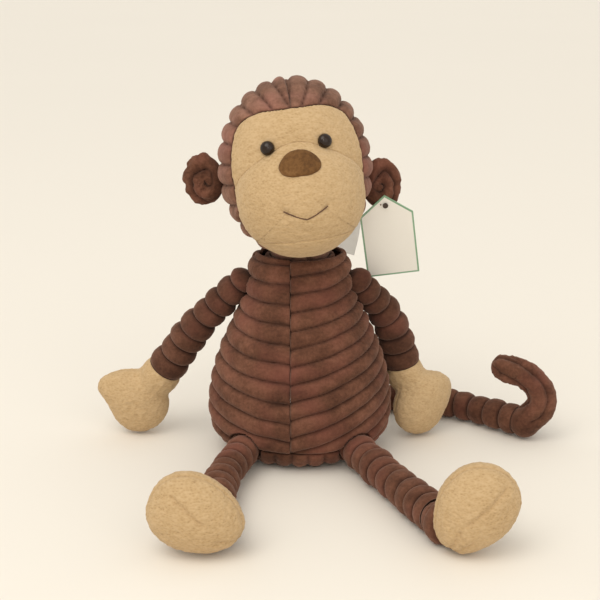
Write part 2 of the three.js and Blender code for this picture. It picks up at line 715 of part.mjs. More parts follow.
// ---- the whole toy --------------------------------------------------------------------
buildTorso();
buildLabel();
buildHead();
buildTag();
piece('tag_fastener', fastener(0), clearNylon, tagFrame);
for (const name of Object.keys(sides)) {
  buildEar(name);
  buildSocketedLimb(`${name}_arm`, limbCurve(name, 'arm'), armRadius, wrist[name]);
  buildHand(name);
  buildSocketedLimb(`${name}_leg`, limbCurve(name, 'leg'), legRadius, ankle[name]);
  buildFoot(name);
}
buildSocketedLimb('tail_base', tailBase, tailBaseRadius, tailBend);
buildGatheredLimb('tail_tip', tailEnd, tailEndRadius, tailTip);

export default monkey;
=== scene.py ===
import json

import bmesh
import bpy
import numpy as np
from mathutils import Matrix, Vector


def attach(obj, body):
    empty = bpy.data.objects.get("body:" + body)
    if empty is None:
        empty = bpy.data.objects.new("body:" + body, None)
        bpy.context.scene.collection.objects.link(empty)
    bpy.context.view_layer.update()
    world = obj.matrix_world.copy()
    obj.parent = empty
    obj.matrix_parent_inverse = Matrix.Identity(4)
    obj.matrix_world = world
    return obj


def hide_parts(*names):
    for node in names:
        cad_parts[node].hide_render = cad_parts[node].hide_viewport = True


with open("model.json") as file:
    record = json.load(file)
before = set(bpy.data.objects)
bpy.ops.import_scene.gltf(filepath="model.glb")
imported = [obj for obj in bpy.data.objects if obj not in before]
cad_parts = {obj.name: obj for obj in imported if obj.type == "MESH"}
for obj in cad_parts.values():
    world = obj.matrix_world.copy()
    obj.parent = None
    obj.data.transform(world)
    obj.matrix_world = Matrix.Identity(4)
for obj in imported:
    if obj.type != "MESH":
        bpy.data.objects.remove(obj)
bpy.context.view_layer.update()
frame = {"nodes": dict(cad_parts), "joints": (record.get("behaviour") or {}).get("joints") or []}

# shapes are worked out in millimetres, and become metres where a mesh is made
mm = 0.001
pivot = {joint["name"]: np.array(joint["pos_m"]) / mm for joint in frame["joints"]}
sides = {"left": 1, "right": -1}


# numbers and noise
def unit(v):
    return v / np.linalg.norm(v, axis=-1, keepdims=True)


def ease(t):
    t = np.clip(t, 0, 1)
    return t * t * (3 - 2 * t)


def halfRound(t):        # the height of a half circle over -1..1
    return np.sqrt(np.clip(1 - t * t, 0, 1))


def rollOver(distance, reach):        # 0 at an edge, and level from reach on
    return halfRound(1 - np.clip(distance / reach, 0, 1))


def cellValue(cell, seed):
    h = (cell[..., 0] * 73856093) ^ (cell[..., 1] * 19349663) ^ (cell[..., 2] * 83492791)
    h = (h + seed * 1013904223) & 0xFFFFFFFF
    h = ((h ^ (h >> 13)) * 1274126177) & 0xFFFFFFFF
    h = h ^ (h >> 16)
    return (h & 0xFFFF) / 32767.5 - 1


def lumps(points, size, seed=0):        # smooth noise from -1 to 1 with lumps of that size
    q = points / size
    low = np.floor(q).astype(np.int64)
    f = q - low
    f = f * f * (3 - 2 * f)
    total = 0
    for corner in np.ndindex(2, 2, 2):
        step = np.array(corner)
        weight = np.prod(np.where(step, f, 1 - f), axis=-1)
        total = total + weight * cellValue(low + step, seed)
    return total


def spin(x=0, y=0, z=0):        # turns about x, then y, then z, in degrees
    parts = [Matrix.Rotation(np.radians(a), 3, n) for a, n in ((x, "X"), (y, "Y"), (z, "Z"))]
    return np.array(parts[2] @ parts[1] @ parts[0])


def splineThrough(points, perSpan=24):
    p = [np.array(q, float) for q in points]
    p = [2 * p[0] - p[1]] + p + [2 * p[-1] - p[-2]]
    out = []
    for a, b, c, d in zip(p, p[1:], p[2:], p[3:]):
        t1 = np.linalg.norm(b - a) ** 0.5
        t2 = t1 + np.linalg.norm(c - b) ** 0.5
        t3 = t2 + np.linalg.norm(d - c) ** 0.5
        s = np.linspace(t1, t2, perSpan, endpoint=False)[:, None]
        ab = ((t1 - s) * a + s * b) / t1
        bc = ((t2 - s) * b + (s - t1) * c) / (t2 - t1)
        cd = ((t3 - s) * c + (s - t2) * d) / (t3 - t2)
        abc = ((t2 - s) * ab + s * bc) / t2
        bcd = ((t3 - s) * bc + (s - t1) * cd) / (t3 - t1)
        out.append(((t2 - s) * abc + (s - t1) * bcd) / (t2 - t1))
    out.append(p[-2][None])
    return np.concatenate(out)


def wholeTurn(count):
    return np.linspace(0, 2 * np.pi, count)


def lengthsAlong(points):
    steps = np.linalg.norm(np.diff(points, axis=0), axis=-1)
    return np.concatenate([np.zeros_like(steps[:1]), np.cumsum(steps, axis=0)])


class Path:        # a smooth line with a frame that doesn't twist
    def __init__(self, points):
        line = splineThrough(points)
        run = lengthsAlong(line)
        self.length = run[-1]
        self.at = np.linspace(0, self.length, 161)
        self.line = np.stack([np.interp(self.at, run, line[:, k]) for k in range(3)], -1)
        self.tangent = unit(np.gradient(self.line, axis=0))
        lift = np.array([0.0, 0.0, 1.0])
        if abs(self.tangent[0] @ lift) > 0.9:
            lift = np.array([0.0, 1.0, 0.0])
        lifts = []
        for t in self.tangent:
            lift = unit(lift - (lift @ t) * t)
            lifts.append(lift)
        self.lift = np.array(lifts)
        self.across = np.cross(self.tangent, self.lift)

    def pick(self, values, s):
        s = np.clip(s, 0, self.length)
        return np.stack([np.interp(s, self.at, values[:, k]) for k in range(3)], -1)

    def place(self, s, r, angle):        # a point at that distance along, out and round
        s, r, angle = np.broadcast_arrays(s, r, angle)
        t = self.pick(self.tangent, s)
        middle = self.pick(self.line, s) + t * (s - np.clip(s, 0, self.length))[..., None]
        out = self.pick(self.across, s) * np.cos(angle)[..., None]
        out = out + self.pick(self.lift, s) * np.sin(angle)[..., None]
        return middle + out * r[..., None]

    def gap(self, points, near, far):        # how far points are outside a tube round the line
        line, at = self.line[::4], self.at[::4]
        flat = points.reshape(-1, 3)
        best = np.full(len(flat), 1e9)
        for spot, s in zip(line, at):
            reach = near + (far - near) * s / self.length
            best = np.minimum(best, np.linalg.norm(flat - spot, axis=-1) - reach)
        return best.reshape(points.shape[:-1])


# mesh building
def gridFaces(rows, cols, start=0, flip=False):
    i = np.arange(rows * cols).reshape(rows, cols) + start
    quads = np.stack([i[:-1, :-1], i[:-1, 1:], i[1:, 1:], i[1:, :-1]], -1).reshape(-1, 4)
    return (quads[:, ::-1] if flip else quads).tolist()


def closeRound(points):        # the last column meets the first
    points[:, -1] = points[:, 0]


def offFloor(points, gap):        # a closed ring of cloth kept that far above the floor
    points[..., 2] = np.maximum(points[..., 2], gap)
    closeRound(points)


def closeEnds(points):        # the first and last rows become points
    points[0], points[-1] = points[0].mean(0), points[-1].mean(0)


def addObject(name, data):
    made = bpy.data.objects.new(name, data)
    bpy.context.scene.collection.objects.link(made)
    return made


def makePiece(name, points, faces, look, fields=None):
    mesh = bpy.data.meshes.new(name)
    mesh.from_pydata((points.reshape(-1, 3) * mm).tolist(), [], faces)
    for field, values in (fields or {}).items():
        mesh.attributes.new(field, "FLOAT", "POINT").data.foreach_set(
            "value", np.asarray(values, np.float32).ravel())
    work = bmesh.new()
    work.from_mesh(mesh)
    bmesh.ops.remove_doubles(work, verts=work.verts, dist=2e-6)
    bmesh.ops.dissolve_degenerate(work, edges=work.edges, dist=1e-6)
    loose = [v for v in work.verts if not v.link_faces]
    bmesh.ops.delete(work, geom=loose, context="VERTS")
    bmesh.ops.recalc_face_normals(work, faces=work.faces)
    work.to_mesh(mesh)
    work.free()
    mesh.materials.append(look)
    mesh.polygons.foreach_set("use_smooth", [True] * len(mesh.polygons))
    return addObject(name, mesh)


def gridPiece(name, points, look, fields=None):
    return makePiece(name, points, gridFaces(*points.shape[:2]), look, fields)


def sewnShell(name, outer, wall, look, fields=None, wrap=False):
    # a panel of cloth from a grid of points: its outside, its inside and its edges
    inner = outer - gridNormals(outer, wrap) * wall
    rows, cols = outer.shape[:2]
    count = rows * cols
    faces = gridFaces(rows, cols) + gridFaces(rows, cols, count, flip=True)
    i = np.arange(count).reshape(rows, cols)
    edges = [i[0], i[-1][::-1]]
    if not wrap:
        edges += [i[:, -1], i[:, 0][::-1]]
    for edge in edges:
        for a, b in zip(edge, edge[1:]):
            faces.append([int(b), int(a), int(a) + count, int(b) + count])
    both = {k: np.concatenate([v.ravel(), v.ravel()]) for k, v in (fields or {}).items()}
    points = np.concatenate([outer.reshape(-1, 3), inner.reshape(-1, 3)])
    return makePiece(name, points, faces, look, both)


def gridNormals(points, wrap=False):
    if wrap:
        padded = np.concatenate([points[:, -2:-1], points, points[:, 1:2]], axis=1)
        round_ = np.gradient(padded, axis=1)[:, 1:-1]
    else:
        round_ = np.gradient(points, axis=1)
    n = np.cross(np.gradient(points, axis=0), round_)
    size = np.linalg.norm(n, axis=-1, keepdims=True)
    n = n / np.maximum(size, 1e-9)
    weak = size[..., 0] < 1e-7
    if weak.any():
        n[weak] = unit(n[~weak].mean(0))
    return n


def facingOut(middle, points, *others, wrap=False):        # turns grids so that they face away
    if (gridNormals(points, wrap) * (points - middle)).sum() < 0:
        return [points[::-1], *(o[::-1] for o in others)]
    return [points, *others]


def cubeSphere(n):
    edge = np.tan(np.linspace(-np.pi / 4, np.pi / 4, n))
    a, b = np.meshgrid(edge, edge, indexing="ij")
    one = np.ones_like(a)
    cube = [(one, a, b), (-one, b, a), (b, one, a), (a, -one, b), (a, b, one), (b, a, -one)]
    points = np.concatenate([unit(np.stack(f, -1)).reshape(-1, 3) for f in cube])
    faces = sum((gridFaces(n, n, k * n * n) for k in range(6)), [])
    return points, faces


def castRays(centre, directions, field):        # where rays leave a field, up to 120 mm away
    low = np.zeros(directions.shape[:-1])
    high = np.full(directions.shape[:-1], 120.0)
    for _ in range(26):
        half = (low + high) / 2
        inside = field(centre + directions * half[..., None]) < 0
        low, high = np.where(inside, half, low), np.where(inside, high, half)
    return centre + directions * low[..., None]


def egg(points, centre, half):        # signed distance to an ellipsoid, near enough
    q = (points - centre) / half
    k0 = np.linalg.norm(q, axis=-1)
    k1 = np.linalg.norm(q / half, axis=-1)
    return k0 * (k0 - 1) / np.maximum(k1, 1e-9)


def melt(a, b, k):        # two fields joined with a soft crease
    h = np.clip(0.5 + 0.5 * (b - a) / k, 0, 1)
    return b + (a - b) * h - k * h * (1 - h)


def vertexArrays(mesh):
    count = len(mesh.vertices)
    place, normal = np.empty(count * 3), np.empty(count * 3)
    mesh.vertices.foreach_get("co", place)
    mesh.vertex_normals.foreach_get("vector", normal)
    return place.reshape(-1, 3) / mm, normal.reshape(-1, 3)


def moveVertices(piece, points):
    piece.data.vertices.foreach_set("co", (points * mm).astype(np.float32).ravel())
    piece.data.update()


def applyModifiers(piece):
    graph = bpy.context.evaluated_depsgraph_get()
    baked = bpy.data.meshes.new_from_object(piece.evaluated_get(graph))
    piece.modifiers.clear()
    old = piece.data
    piece.data = baked
    bpy.data.meshes.remove(old)


def subdivide(piece, levels):
    smooth = piece.modifiers.new("finer", "SUBSURF")
    smooth.levels = smooth.render_levels = levels
    applyModifiers(piece)
    piece.data.polygons.foreach_set("use_smooth", [True] * len(piece.data.polygons))


def puffUp(piece, pressure, cap):
    # fills a sewn pad with air, lets its cloth find its own creases, and keeps it near its cut
    cloth = piece.modifiers.new("puff", "CLOTH")
    cloth.settings.quality = 5
    cloth.settings.mass = 0.2
    cloth.settings.use_pressure = True
    cloth.settings.uniform_pressure_force = pressure
    cloth.settings.tension_stiffness = 25
    cloth.settings.bending_stiffness = 0.4
    cloth.settings.effector_weights.gravity = 0
    cloth.collision_settings.use_self_collision = False
    cloth.point_cache.frame_start, cloth.point_cache.frame_end = 1, 20
    for step in range(1, 21):
        bpy.context.scene.frame_set(step)
    graph = bpy.context.evaluated_depsgraph_get()
    blown = bpy.data.meshes.new_from_object(piece.evaluated_get(graph))
    after, _ = vertexArrays(blown)
    before, _ = vertexArrays(piece.data)
    piece.modifiers.clear()
    bpy.data.meshes.remove(blown)
    move = after - before
    size = np.linalg.norm(move, axis=-1, keepdims=True)
    moveVertices(piece, before + move * np.minimum(1, cap / np.maximum(size, 1e-9)))
    bpy.context.scene.frame_set(1)


def settle(piece, body, replaced):
    if replaced:
        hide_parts(*replaced)
    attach(piece, body)
    return piece


def refinish(node, look):        # a CAD node that keeps its shape
    materials = frame["nodes"][node].data.materials
    materials.clear()
    materials.append(look)


# finishes
class Sock:        # a socket in a shader expression
    def __init__(self, finish, socket):
        self.finish, self.socket = finish, socket

    def maths(self, operation, first, second):
        return self.finish.node("ShaderNodeMath", {"operation": operation}, {0: first, 1: second})

    def __add__(self, other):
        return self.maths("ADD", self, other)

    __radd__ = __add__

    def __mul__(self, other):
        return self.maths("MULTIPLY", self, other)

    __rmul__ = __mul__


class Finish:
    def __init__(self, name):
        self.material = bpy.data.materials.new(name)
        self.material.use_nodes = True
        self.tree = self.material.node_tree
        self.tree.nodes.clear()

    def node(self, kind, settings=None, sockets=None, out=0):
        made = self.tree.nodes.new(kind)
        for key, value in (settings or {}).items():
            if key == "stops":
                ramp = made.color_ramp.elements
                while len(ramp) < len(value):
                    ramp.new(0.5)
                for stop, (at, colour) in zip(ramp, value):
                    stop.position, stop.color = at, (*colour, 1)
            else:
                setattr(made, key, value)
        for key, value in (sockets or {}).items():
            if isinstance(value, Sock):
                self.tree.links.new(value.socket, made.inputs[key])
            else:
                made.inputs[key].default_value = value
        return Sock(self, made.outputs[out]) if len(made.outputs) else None

    def place(self, stretch=(1, 1, 1)):
        spot = self.node("ShaderNodeTexCoord", out="Object")
        return self.node("ShaderNodeVectorMath", {"operation": "MULTIPLY"}, {0: spot, 1: stretch})

    def noise(self, scale, detail=3, rough=0.5, stretch=(1, 1, 1)):
        return self.node("ShaderNodeTexNoise", None, {
            "Vector": self.place(stretch), "Scale": scale, "Detail": detail, "Roughness": rough})

    def mix(self, share, first, second):
        first = first if isinstance(first, Sock) else (*first, 1)
        second = second if isinstance(second, Sock) else (*second, 1)
        return self.node("ShaderNodeMix", {"data_type": "RGBA"},
                         {0: share, 6: first, 7: second}, out=2)

    def groove(self):        # how deep a point lies in a seam or between two wales, which sets its painted shade
        return self.node("ShaderNodeAttribute", {"attribute_name": "groove"}, out="Fac")

    def ramp(self, value, stops):
        return self.node("ShaderNodeValToRGB", {"stops": stops}, {"Fac": value})

    def shine(self, **sockets):        # the surface itself; its sockets by name
        named = {key.replace("_", " "): value for key, value in sockets.items()}
        shader = self.node("ShaderNodeBsdfPrincipled", None, named)
        self.node("ShaderNodeOutputMaterial", None, {"Surface": shader})
        return self.material

    def bump(self, height, strength, depth):
        return self.node("ShaderNodeBump", None, {
            "Height": height, "Strength": strength, "Distance": depth * mm}, out="Normal")


# cord plush: a velvety pile in rounded wales, with painted shade between them
cordTones = {
    "deep": (0.052, 0.020, 0.011),
    "middle": (0.112, 0.046, 0.026),
    "warm": (0.200, 0.086, 0.052),
    "russet": (0.205, 0.066, 0.048),
    "russetScale": 30,
    # painted light: the crown is a lighter copy of the cord, as if lit from above
    "crownPaintedLight": (1.5, 1.8, 2.05),        # red, green, blue
    # painted shade: the arms are a darker copy of the cord, as if in shade
    "armPaintedShade": (0.72, 0.72, 0.72),
    "patchScale": 42,
    "fibreScale": 520,
    "streakScale": 170,
    # painted shade: the colour mixed into the grooves between the wales
    "groove": (0.016, 0.006, 0.004),
    "paintedShadeShare": 0.72,
    "blush": 0.45,
    "sheen": 0.35,
    "sheenTint": (0.62, 0.42, 0.33, 1),
}


def cordFinish(name, lift=(1, 1, 1)):
    tones = cordTones
    look = Finish(name)
    patch = look.noise(tones["patchScale"], 3, 0.55)
    fibre = look.noise(tones["fibreScale"], 4, 0.7)
    streak = look.noise(tones["streakScale"], 3, 0.6, (0.35, 1, 1))
    tone = patch * 0.45 + fibre * 0.3 + streak * 0.25
    # lift scales the tones: above 1 for painted light on the crown, below 1 for painted shade on
    # the arms
    deep, middle, warm, russet = [tuple(c * k for c, k in zip(tones[word], lift))
                                  for word in ("deep", "middle", "warm", "russet")]
    colour = look.ramp(tone, [(0.36, deep), (0.5, middle), (0.66, warm)])
    blush = look.ramp(look.noise(tones["russetScale"], 2), [(0.48, (0, 0, 0)), (0.72, (1, 1, 1))])
    colour = look.mix(blush * tones["blush"], colour, russet)
    # painted shade: darkens the grooves between wales, where shade falls
    colour = look.mix(look.groove() * tones["paintedShadeShare"], colour, tones["groove"])
    height = fibre * 0.6 + streak * 0.4
    return look.shine(Base_Color=colour, Roughness=0.95, Specular_IOR_Level=0.2,
                      Sheen_Weight=tones["sheen"], Sheen_Roughness=0.45,
                      Sheen_Tint=tones["sheenTint"], Normal=look.bump(height, 0.55, 0.9))


# brushed fleece: short matted loops with small dark pits between them
fleeceTones = {
    "shade": (0.320, 0.205, 0.096),
    "body": (0.452, 0.306, 0.156),
    "tip": (0.520, 0.366, 0.202),
    "patchScale": 24,
    "loopScale": 430,
    "pitScale": 800,
    # painted shade: the colour mixed in along the seams
    "seam": (0.20, 0.11, 0.045),
    "seamDark": 0.22,
    "sheen": 0.25,
    "sheenTint": (1, 0.86, 0.66, 1),
}


def fleeceFinish(name):
    tones = fleeceTones
    look = Finish(name)
    patch = look.noise(tones["patchScale"], 2)
    loop = look.noise(tones["loopScale"], 5, 0.65, (0.35, 1, 1.5))
    pit = look.node("ShaderNodeTexVoronoi", None, {
        "Vector": look.place((0.7, 1, 1.2)), "Scale": tones["pitScale"]}, out="Distance")
    tone = patch * 0.22 + loop * 0.5 + pit * 0.28
    colour = look.ramp(tone, [(0.28, tones["shade"]), (0.42, tones["body"]), (0.6, tones["tip"])])
    # painted shade along the seams, where the panels dip
    colour = look.mix(look.groove() * tones["seamDark"], colour, tones["seam"])
    return look.shine(Base_Color=colour, Roughness=0.97, Specular_IOR_Level=0.15,
                      Sheen_Weight=tones["sheen"], Sheen_Roughness=0.5,
                      Sheen_Tint=tones["sheenTint"],
                      Normal=look.bump(loop * 0.7 + pit * 0.3, 0.6, 0.7))


# small trims: the darker tone first
trimTones = {
    "suede": [(0.35, (0.080, 0.036, 0.012)), (0.52, (0.142, 0.066, 0.021)),
              (0.68, (0.200, 0.100, 0.036))],
    "suedeSheen": (0.6, 0.45, 0.28, 1),
    "thread": ((0.080, 0.036, 0.018), (0.150, 0.075, 0.038)),
    "eye": ((0.012, 0.006, 0.003), (0.022, 0.010, 0.005)),
    "washer": (0.80, 0.80, 0.77),
    "nylon": (0.055, 0.035, 0.025),
    "card": ((0.80, 0.765, 0.69), (0.86, 0.83, 0.76)),
    "cardEdge": ((0.20, 0.34, 0.21), (0.26, 0.42, 0.27)),
    "satin": ((0.90, 0.88, 0.84), (0.96, 0.95, 0.92)),
}


def suedeFinish(name):
    look = Finish(name)
    nap = look.noise(480, 4, 0.7)
    patch = look.noise(90, 2)
    colour = look.ramp(nap * 0.55 + patch * 0.45, trimTones["suede"])
    return look.shine(Base_Color=colour, Roughness=0.9, Specular_IOR_Level=0.2, Sheen_Weight=0.3,
                      Sheen_Roughness=0.4, Sheen_Tint=trimTones["suedeSheen"],
                      Normal=look.bump(nap, 0.4, 0.4))


def threadFinish(name):
    look = Finish(name)
    twist = look.node("ShaderNodeTexWave", {"bands_direction": "DIAGONAL"}, {
        "Vector": look.place(), "Scale": 900, "Distortion": 1.5})
    colour = look.mix(twist, *trimTones["thread"])
    return look.shine(Base_Color=colour, Roughness=0.75, Normal=look.bump(twist, 0.5, 0.2))


def eyeFinish(name):
    look = Finish(name)
    smear = look.noise(260, 2)
    colour = look.mix(smear, *trimTones["eye"])
    return look.shine(Base_Color=colour, Roughness=smear * 0.08 + 0.1, Coat_Weight=0.35,
                      Coat_Roughness=0.03, Specular_IOR_Level=0.15)


def plainPlastic(name, colour, rough):
    look = Finish(name)
    grain = look.noise(700, 2)
    shade = tuple(c * 0.9 for c in colour)
    return look.shine(Base_Color=look.mix(grain, shade, colour), Roughness=grain * 0.1 + rough,
                      Normal=look.bump(grain, 0.1, 0.05))


def cardFinish(name, tones):
    look = Finish(name)
    fibre = look.noise(800, 4, 0.7)
    cloud = look.noise(35, 2)
    tint = look.mix(fibre * 0.5 + cloud * 0.5, *tones)
    return look.shine(Base_Color=tint, Roughness=fibre * 0.15 + 0.5,
                      Normal=look.bump(fibre, 0.15, 0.08))


def satinFinish(name):
    look = Finish(name)
    weave = look.node("ShaderNodeTexWave", {"bands_direction": "Z"}, {
        "Vector": look.place(), "Scale": 1200})
    colour = look.mix(weave * 0.6, *trimTones["satin"])
    return look.shine(Base_Color=colour, Roughness=0.45, Alpha=0.6, Sheen_Weight=0.4,
                      Normal=look.bump(weave, 0.2, 0.05))


looks = {
    "cord": cordFinish("cordPlush"),
    # painted light: the crown's lighter copy of the cord
    "crown": cordFinish("crownPaintedLightPlush", cordTones["crownPaintedLight"]),
    # painted shade: the arms' darker copy of the cord
    "arm": cordFinish("armPaintedShadePlush", cordTones["armPaintedShade"]),
    "fleece": fleeceFinish("tanFleece"),
    "suede": suedeFinish("noseSuede"),
    "thread": threadFinish("mouthThread"),
    "eye": eyeFinish("eyeGloss"),
    "washer": plainPlastic("washerPlastic", trimTones["washer"], 0.45),
    "nylon": plainPlastic("tackNylon", trimTones["nylon"], 0.35),
    "card": cardFinish("tagCard", trimTones["card"]),
    "cardEdge": cardFinish("tagBorder", trimTones["cardEdge"]),
    "satin": satinFinish("labelSatin"),
}
print("finishes made")

# camera
viewFrom = {"place": (0, -784.2, 342.2), "tilt": 73.0, "lens": 76.5}
lens = bpy.data.cameras.new("camera")
lens.lens, lens.sensor_width = viewFrom["lens"], 36
lens.clip_start, lens.clip_end = 0.01, 60
camera = addObject("camera", lens)
camera.location = Vector(viewFrom["place"]) * mm
camera.rotation_euler = (np.radians(viewFrom["tilt"]), 0, 0)
bpy.context.scene.camera = camera

# limbs' lines, which the torso leaves room for
limbs = {
    "left_arm": {
        "from": "left_shoulder_swing", "to": "left_wrist_flex", "bend": [(58.5, 17, 84)],
        "near": 9.5, "far": 13.5, "pitch": 11.6, "depth": 3.4, "rim": 0.55, "seed": 3,
    },
    "right_arm": {
        "from": "right_shoulder_swing", "to": "right_wrist_flex", "bend": [(-66, 11, 83)],
        "near": 9.5, "far": 13.5, "pitch": 12.6, "depth": 3.6, "rim": 0.55, "seed": 4,
    },
    "left_leg": {
        "from": "left_hip_lift", "to": "left_ankle_flex", "bend": [(57, -80, 12)],
        "near": 11, "far": 11.5, "pitch": 10.8, "depth": 2.6, "rim": 0.55, "seed": 5,
    },
    "right_leg": {
        "from": "right_hip_lift", "to": "right_ankle_flex", "bend": [(-48, -82, 12)],
        "near": 11, "far": 11.5, "pitch": 10.8, "depth": 2.6, "rim": 0.55, "seed": 6,
    },
    "tail_base": {
        "from": "tail_swing", "to": "tail_curl",
        "bend": [(34, 66, 12), (72, 66, 9.5), (108, 53, 10), (134, 32, 11)],
        "near": 8, "far": 10.5, "pitch": 12.2, "depth": 2.9, "rim": 0.55, "seed": 7,
    },
}
limbPath = {
    name: Path([pivot[spec["from"]], *spec["bend"], pivot[spec["to"]]])
    for name, spec in limbs.items()
}

# torso
torso = {
    "profile": [(20, 0.4), (35, 1.2), (47, 5), (54, 14), (57.6, 25), (58, 37), (56, 52),
                (50.5, 71.5), (44.5, 86), (39, 99), (34.5, 113), (31.5, 126), (29.5, 131.5),
                (26.6, 133)],
    "depthRatio": 0.84,
    "lean": 3,
    "height": 137,
    "seamHeight": 14,
    "frontSeam": -6,
    "sideSeam": 7,
    "pitch": {"left": 11.4, "right": 12.6},
    "seatPitch": 10.5,
    "seatDepth": 3.0,
    "seatCrest": 0.9,
    "seatRoll": 5,
    "floorGap": 0.25,
    "seamGap": 0.25,
    "waleDepth": 4.2,
    "crest": 1.9,
    "middle": np.array([0, 3, 60]),
    "wall": 2.0,
    "frontSlope": {"left": (0.42, 0.20), "right": (0.24, 0.05)},
    "backSlope": {"left": (0.20, 0.12), "right": (0.20, 0.12)},
    "offset": {"left": 0.1, "right": 0.45},
    "endRoll": 6,
    "seamRoll": 2.5,
    "hemRoll": 5,
    "bow": 0.35,
    "bowReach": 26,
    "seamHalf": 0.04,
    "rows": 190,
    "cols": 96,
    "carveGap": 0.9,
}


def torsoPoint(r, z, angle):
    r, z, angle = np.broadcast_arrays(r, z, angle)
    lean = torso["lean"] * z / torso["height"]
    return np.stack([r * np.cos(angle), r * np.sin(angle) * torso["depthRatio"] + lean, z], -1)


def seamAngle(r, z, axis, at):        # where the torso's outline crosses a plane, from +X round
    lean = torso["lean"] * z / torso["height"]
    if axis == "x":
        return np.arccos(np.clip(at / r, -1, 1))
    return np.arcsin(np.clip((at - lean) / (r * torso["depthRatio"]), -1, 1))


def roomForLimbs(points, normals):        # moves cloth in until it clears every limb
    now, push = points.reshape(-1, 3).copy(), normals.reshape(-1, 3) * 0.5
    tight = np.arange(len(now))
    for _ in range(60):
        gap = np.min([limbPath[name].gap(now[tight], spec["near"], spec["far"])
                      for name, spec in limbs.items()], axis=0)
        tight = tight[gap < torso["carveGap"]]
        if not len(tight):
            break
        now[tight] -= push[tight]
    return now.reshape(points.shape)


def sewWales(points, coordinate, edge, depth, crest, seed):
    # raises rounded wales on a grid, with cloth that dips to its seams, and gives a mask of painted
    # shade between the wales
    normals = gridNormals(points)
    wander = lumps(points, 22, seed) * 0.06 + lumps(points, 9, seed + 1) * 0.025
    across = 2 * ((coordinate + wander) % 1) - 1
    bulge = halfRound(across * 0.985)
    swell = 1 + 0.10 * lumps(points, 30, seed + 2)
    rise = crest - depth * (1 - bulge * swell * edge)
    rise = rise + 0.22 * lumps(points, 3.2, seed + 3) + 0.10 * lumps(points, 1.5, seed + 4)
    # painted shade mask: strongest deep between the wales
    groove = np.clip((1 - bulge * np.minimum(edge * 1.3, 1)) * 1.5 - 0.35, 0, 1)
    return points + normals * rise[..., None], groove


def profileRows(line, count):        # even rows up part of the torso's outline
    run = lengthsAlong(line)
    s = np.linspace(0, run[-1], count)
    return s, np.interp(s, run, line[:, 0]), np.interp(s, run, line[:, 1])


def torsoPanel(name, front, side):
    spec = torso
    line = splineThrough(spec["profile"])
    s, r, z = profileRows(line[line[:, 1] >= spec["seamHeight"] + spec["seamGap"]], spec["rows"])
    middle = seamAngle(r, z, "x", (spec["frontSeam"] if front else 0))
    flank = seamAngle(r, z, "y", spec["sideSeam"])
    gap = spec["seamHalf"] / r
    if front:
        start, end = -middle, np.where(side > 0, flank, -np.pi - flank)
    else:
        start, end = middle, np.where(side > 0, flank, np.pi - flank)
    toward = np.sign(end - start)
    share = np.linspace(0, 1, spec["cols"])
    angle = (start + toward * gap)[:, None] + (end - start - 2 * toward * gap)[:, None] * share
    points = torsoPoint(r[:, None], z[:, None], angle)
    if toward[0] < 0:
        points = points[:, ::-1]
    away = np.linalg.norm(np.diff(points, axis=1), axis=-1)
    away = np.concatenate([np.zeros((len(s), 1)), np.cumsum(away, axis=1)], axis=1)
    if toward[0] < 0:
        away = away[:, -1:] - away
    key = "left" if side > 0 else "right"
    low, high = (spec["frontSlope"] if front else spec["backSlope"])[key]
    slope = low + (high - low) * (s / s[-1])[:, None]
    bow = spec["bow"] * ease(1 - away / spec["bowReach"])
    coordinate = (s[:, None] - slope * away) / spec["pitch"][key] + spec["offset"][key] - bow * 0.5
    far = away.max(axis=1, keepdims=True) - away
    edge = 0.25 + 0.75 * rollOver(far, spec["endRoll"])
    edge = edge * (0.74 + 0.26 * rollOver(away, spec["seamRoll"]))
    edge = edge * (0.3 + 0.7 * rollOver(s[:, None] + 0 * away, spec["hemRoll"]))
    points, coordinate, edge = facingOut(spec["middle"], points, coordinate, edge)
    points, groove = sewWales(points, coordinate, edge, spec["waleDepth"], spec["crest"], 11 + side)
    points = roomForLimbs(points, gridNormals(points))
    return sewnShell(name, points, spec["wall"], looks["cord"], {"groove": groove})


def torsoSeat():
    spec = torso
    line = splineThrough([(0, 0.4), (12, 0.4), *spec["profile"]])
    s, r, z = profileRows(line[line[:, 1] <= spec["seamHeight"] - spec["seamGap"]], 90)
    angle = wholeTurn(257)[None, :]
    points = torsoPoint(r[:, None], z[:, None], angle)
    edge = rollOver(s[-1] - s, spec["seatRoll"])[:, None] + 0 * angle
    points, edge = facingOut(spec["middle"], points, edge, wrap=True)
    coordinate = points[..., 0] / spec["seatPitch"] + 0.5
    points, groove = sewWales(points, coordinate, 0.25 + 0.75 * edge,
                              spec["seatDepth"], spec["seatCrest"], 19)
    offFloor(points, spec["floorGap"])
    points = roomForLimbs(points, gridNormals(points, True))
    offFloor(points, spec["floorGap"])
    return sewnShell("torso_seat", points, spec["wall"], looks["cord"], {"groove": groove}, True)


for front, word in ((True, "front"), (False, "back")):
    for key, side in sides.items():
        nodes = [f"torso_{word}_{key}"] + (["torso_stuffing"] if front and side > 0 else [])
        settle(torsoPanel(f"torso_{word}_{key}_wales", front, side), "torso",
               nodes)
settle(torsoSeat(), "torso", ["torso_base", "bean_bag"])
print("torso sewn")

# the rolled seam between the torso and the head
neckRoll = {"radius": 20.5, "tube": 2.2, "height": 130.4, "lumps": 13}


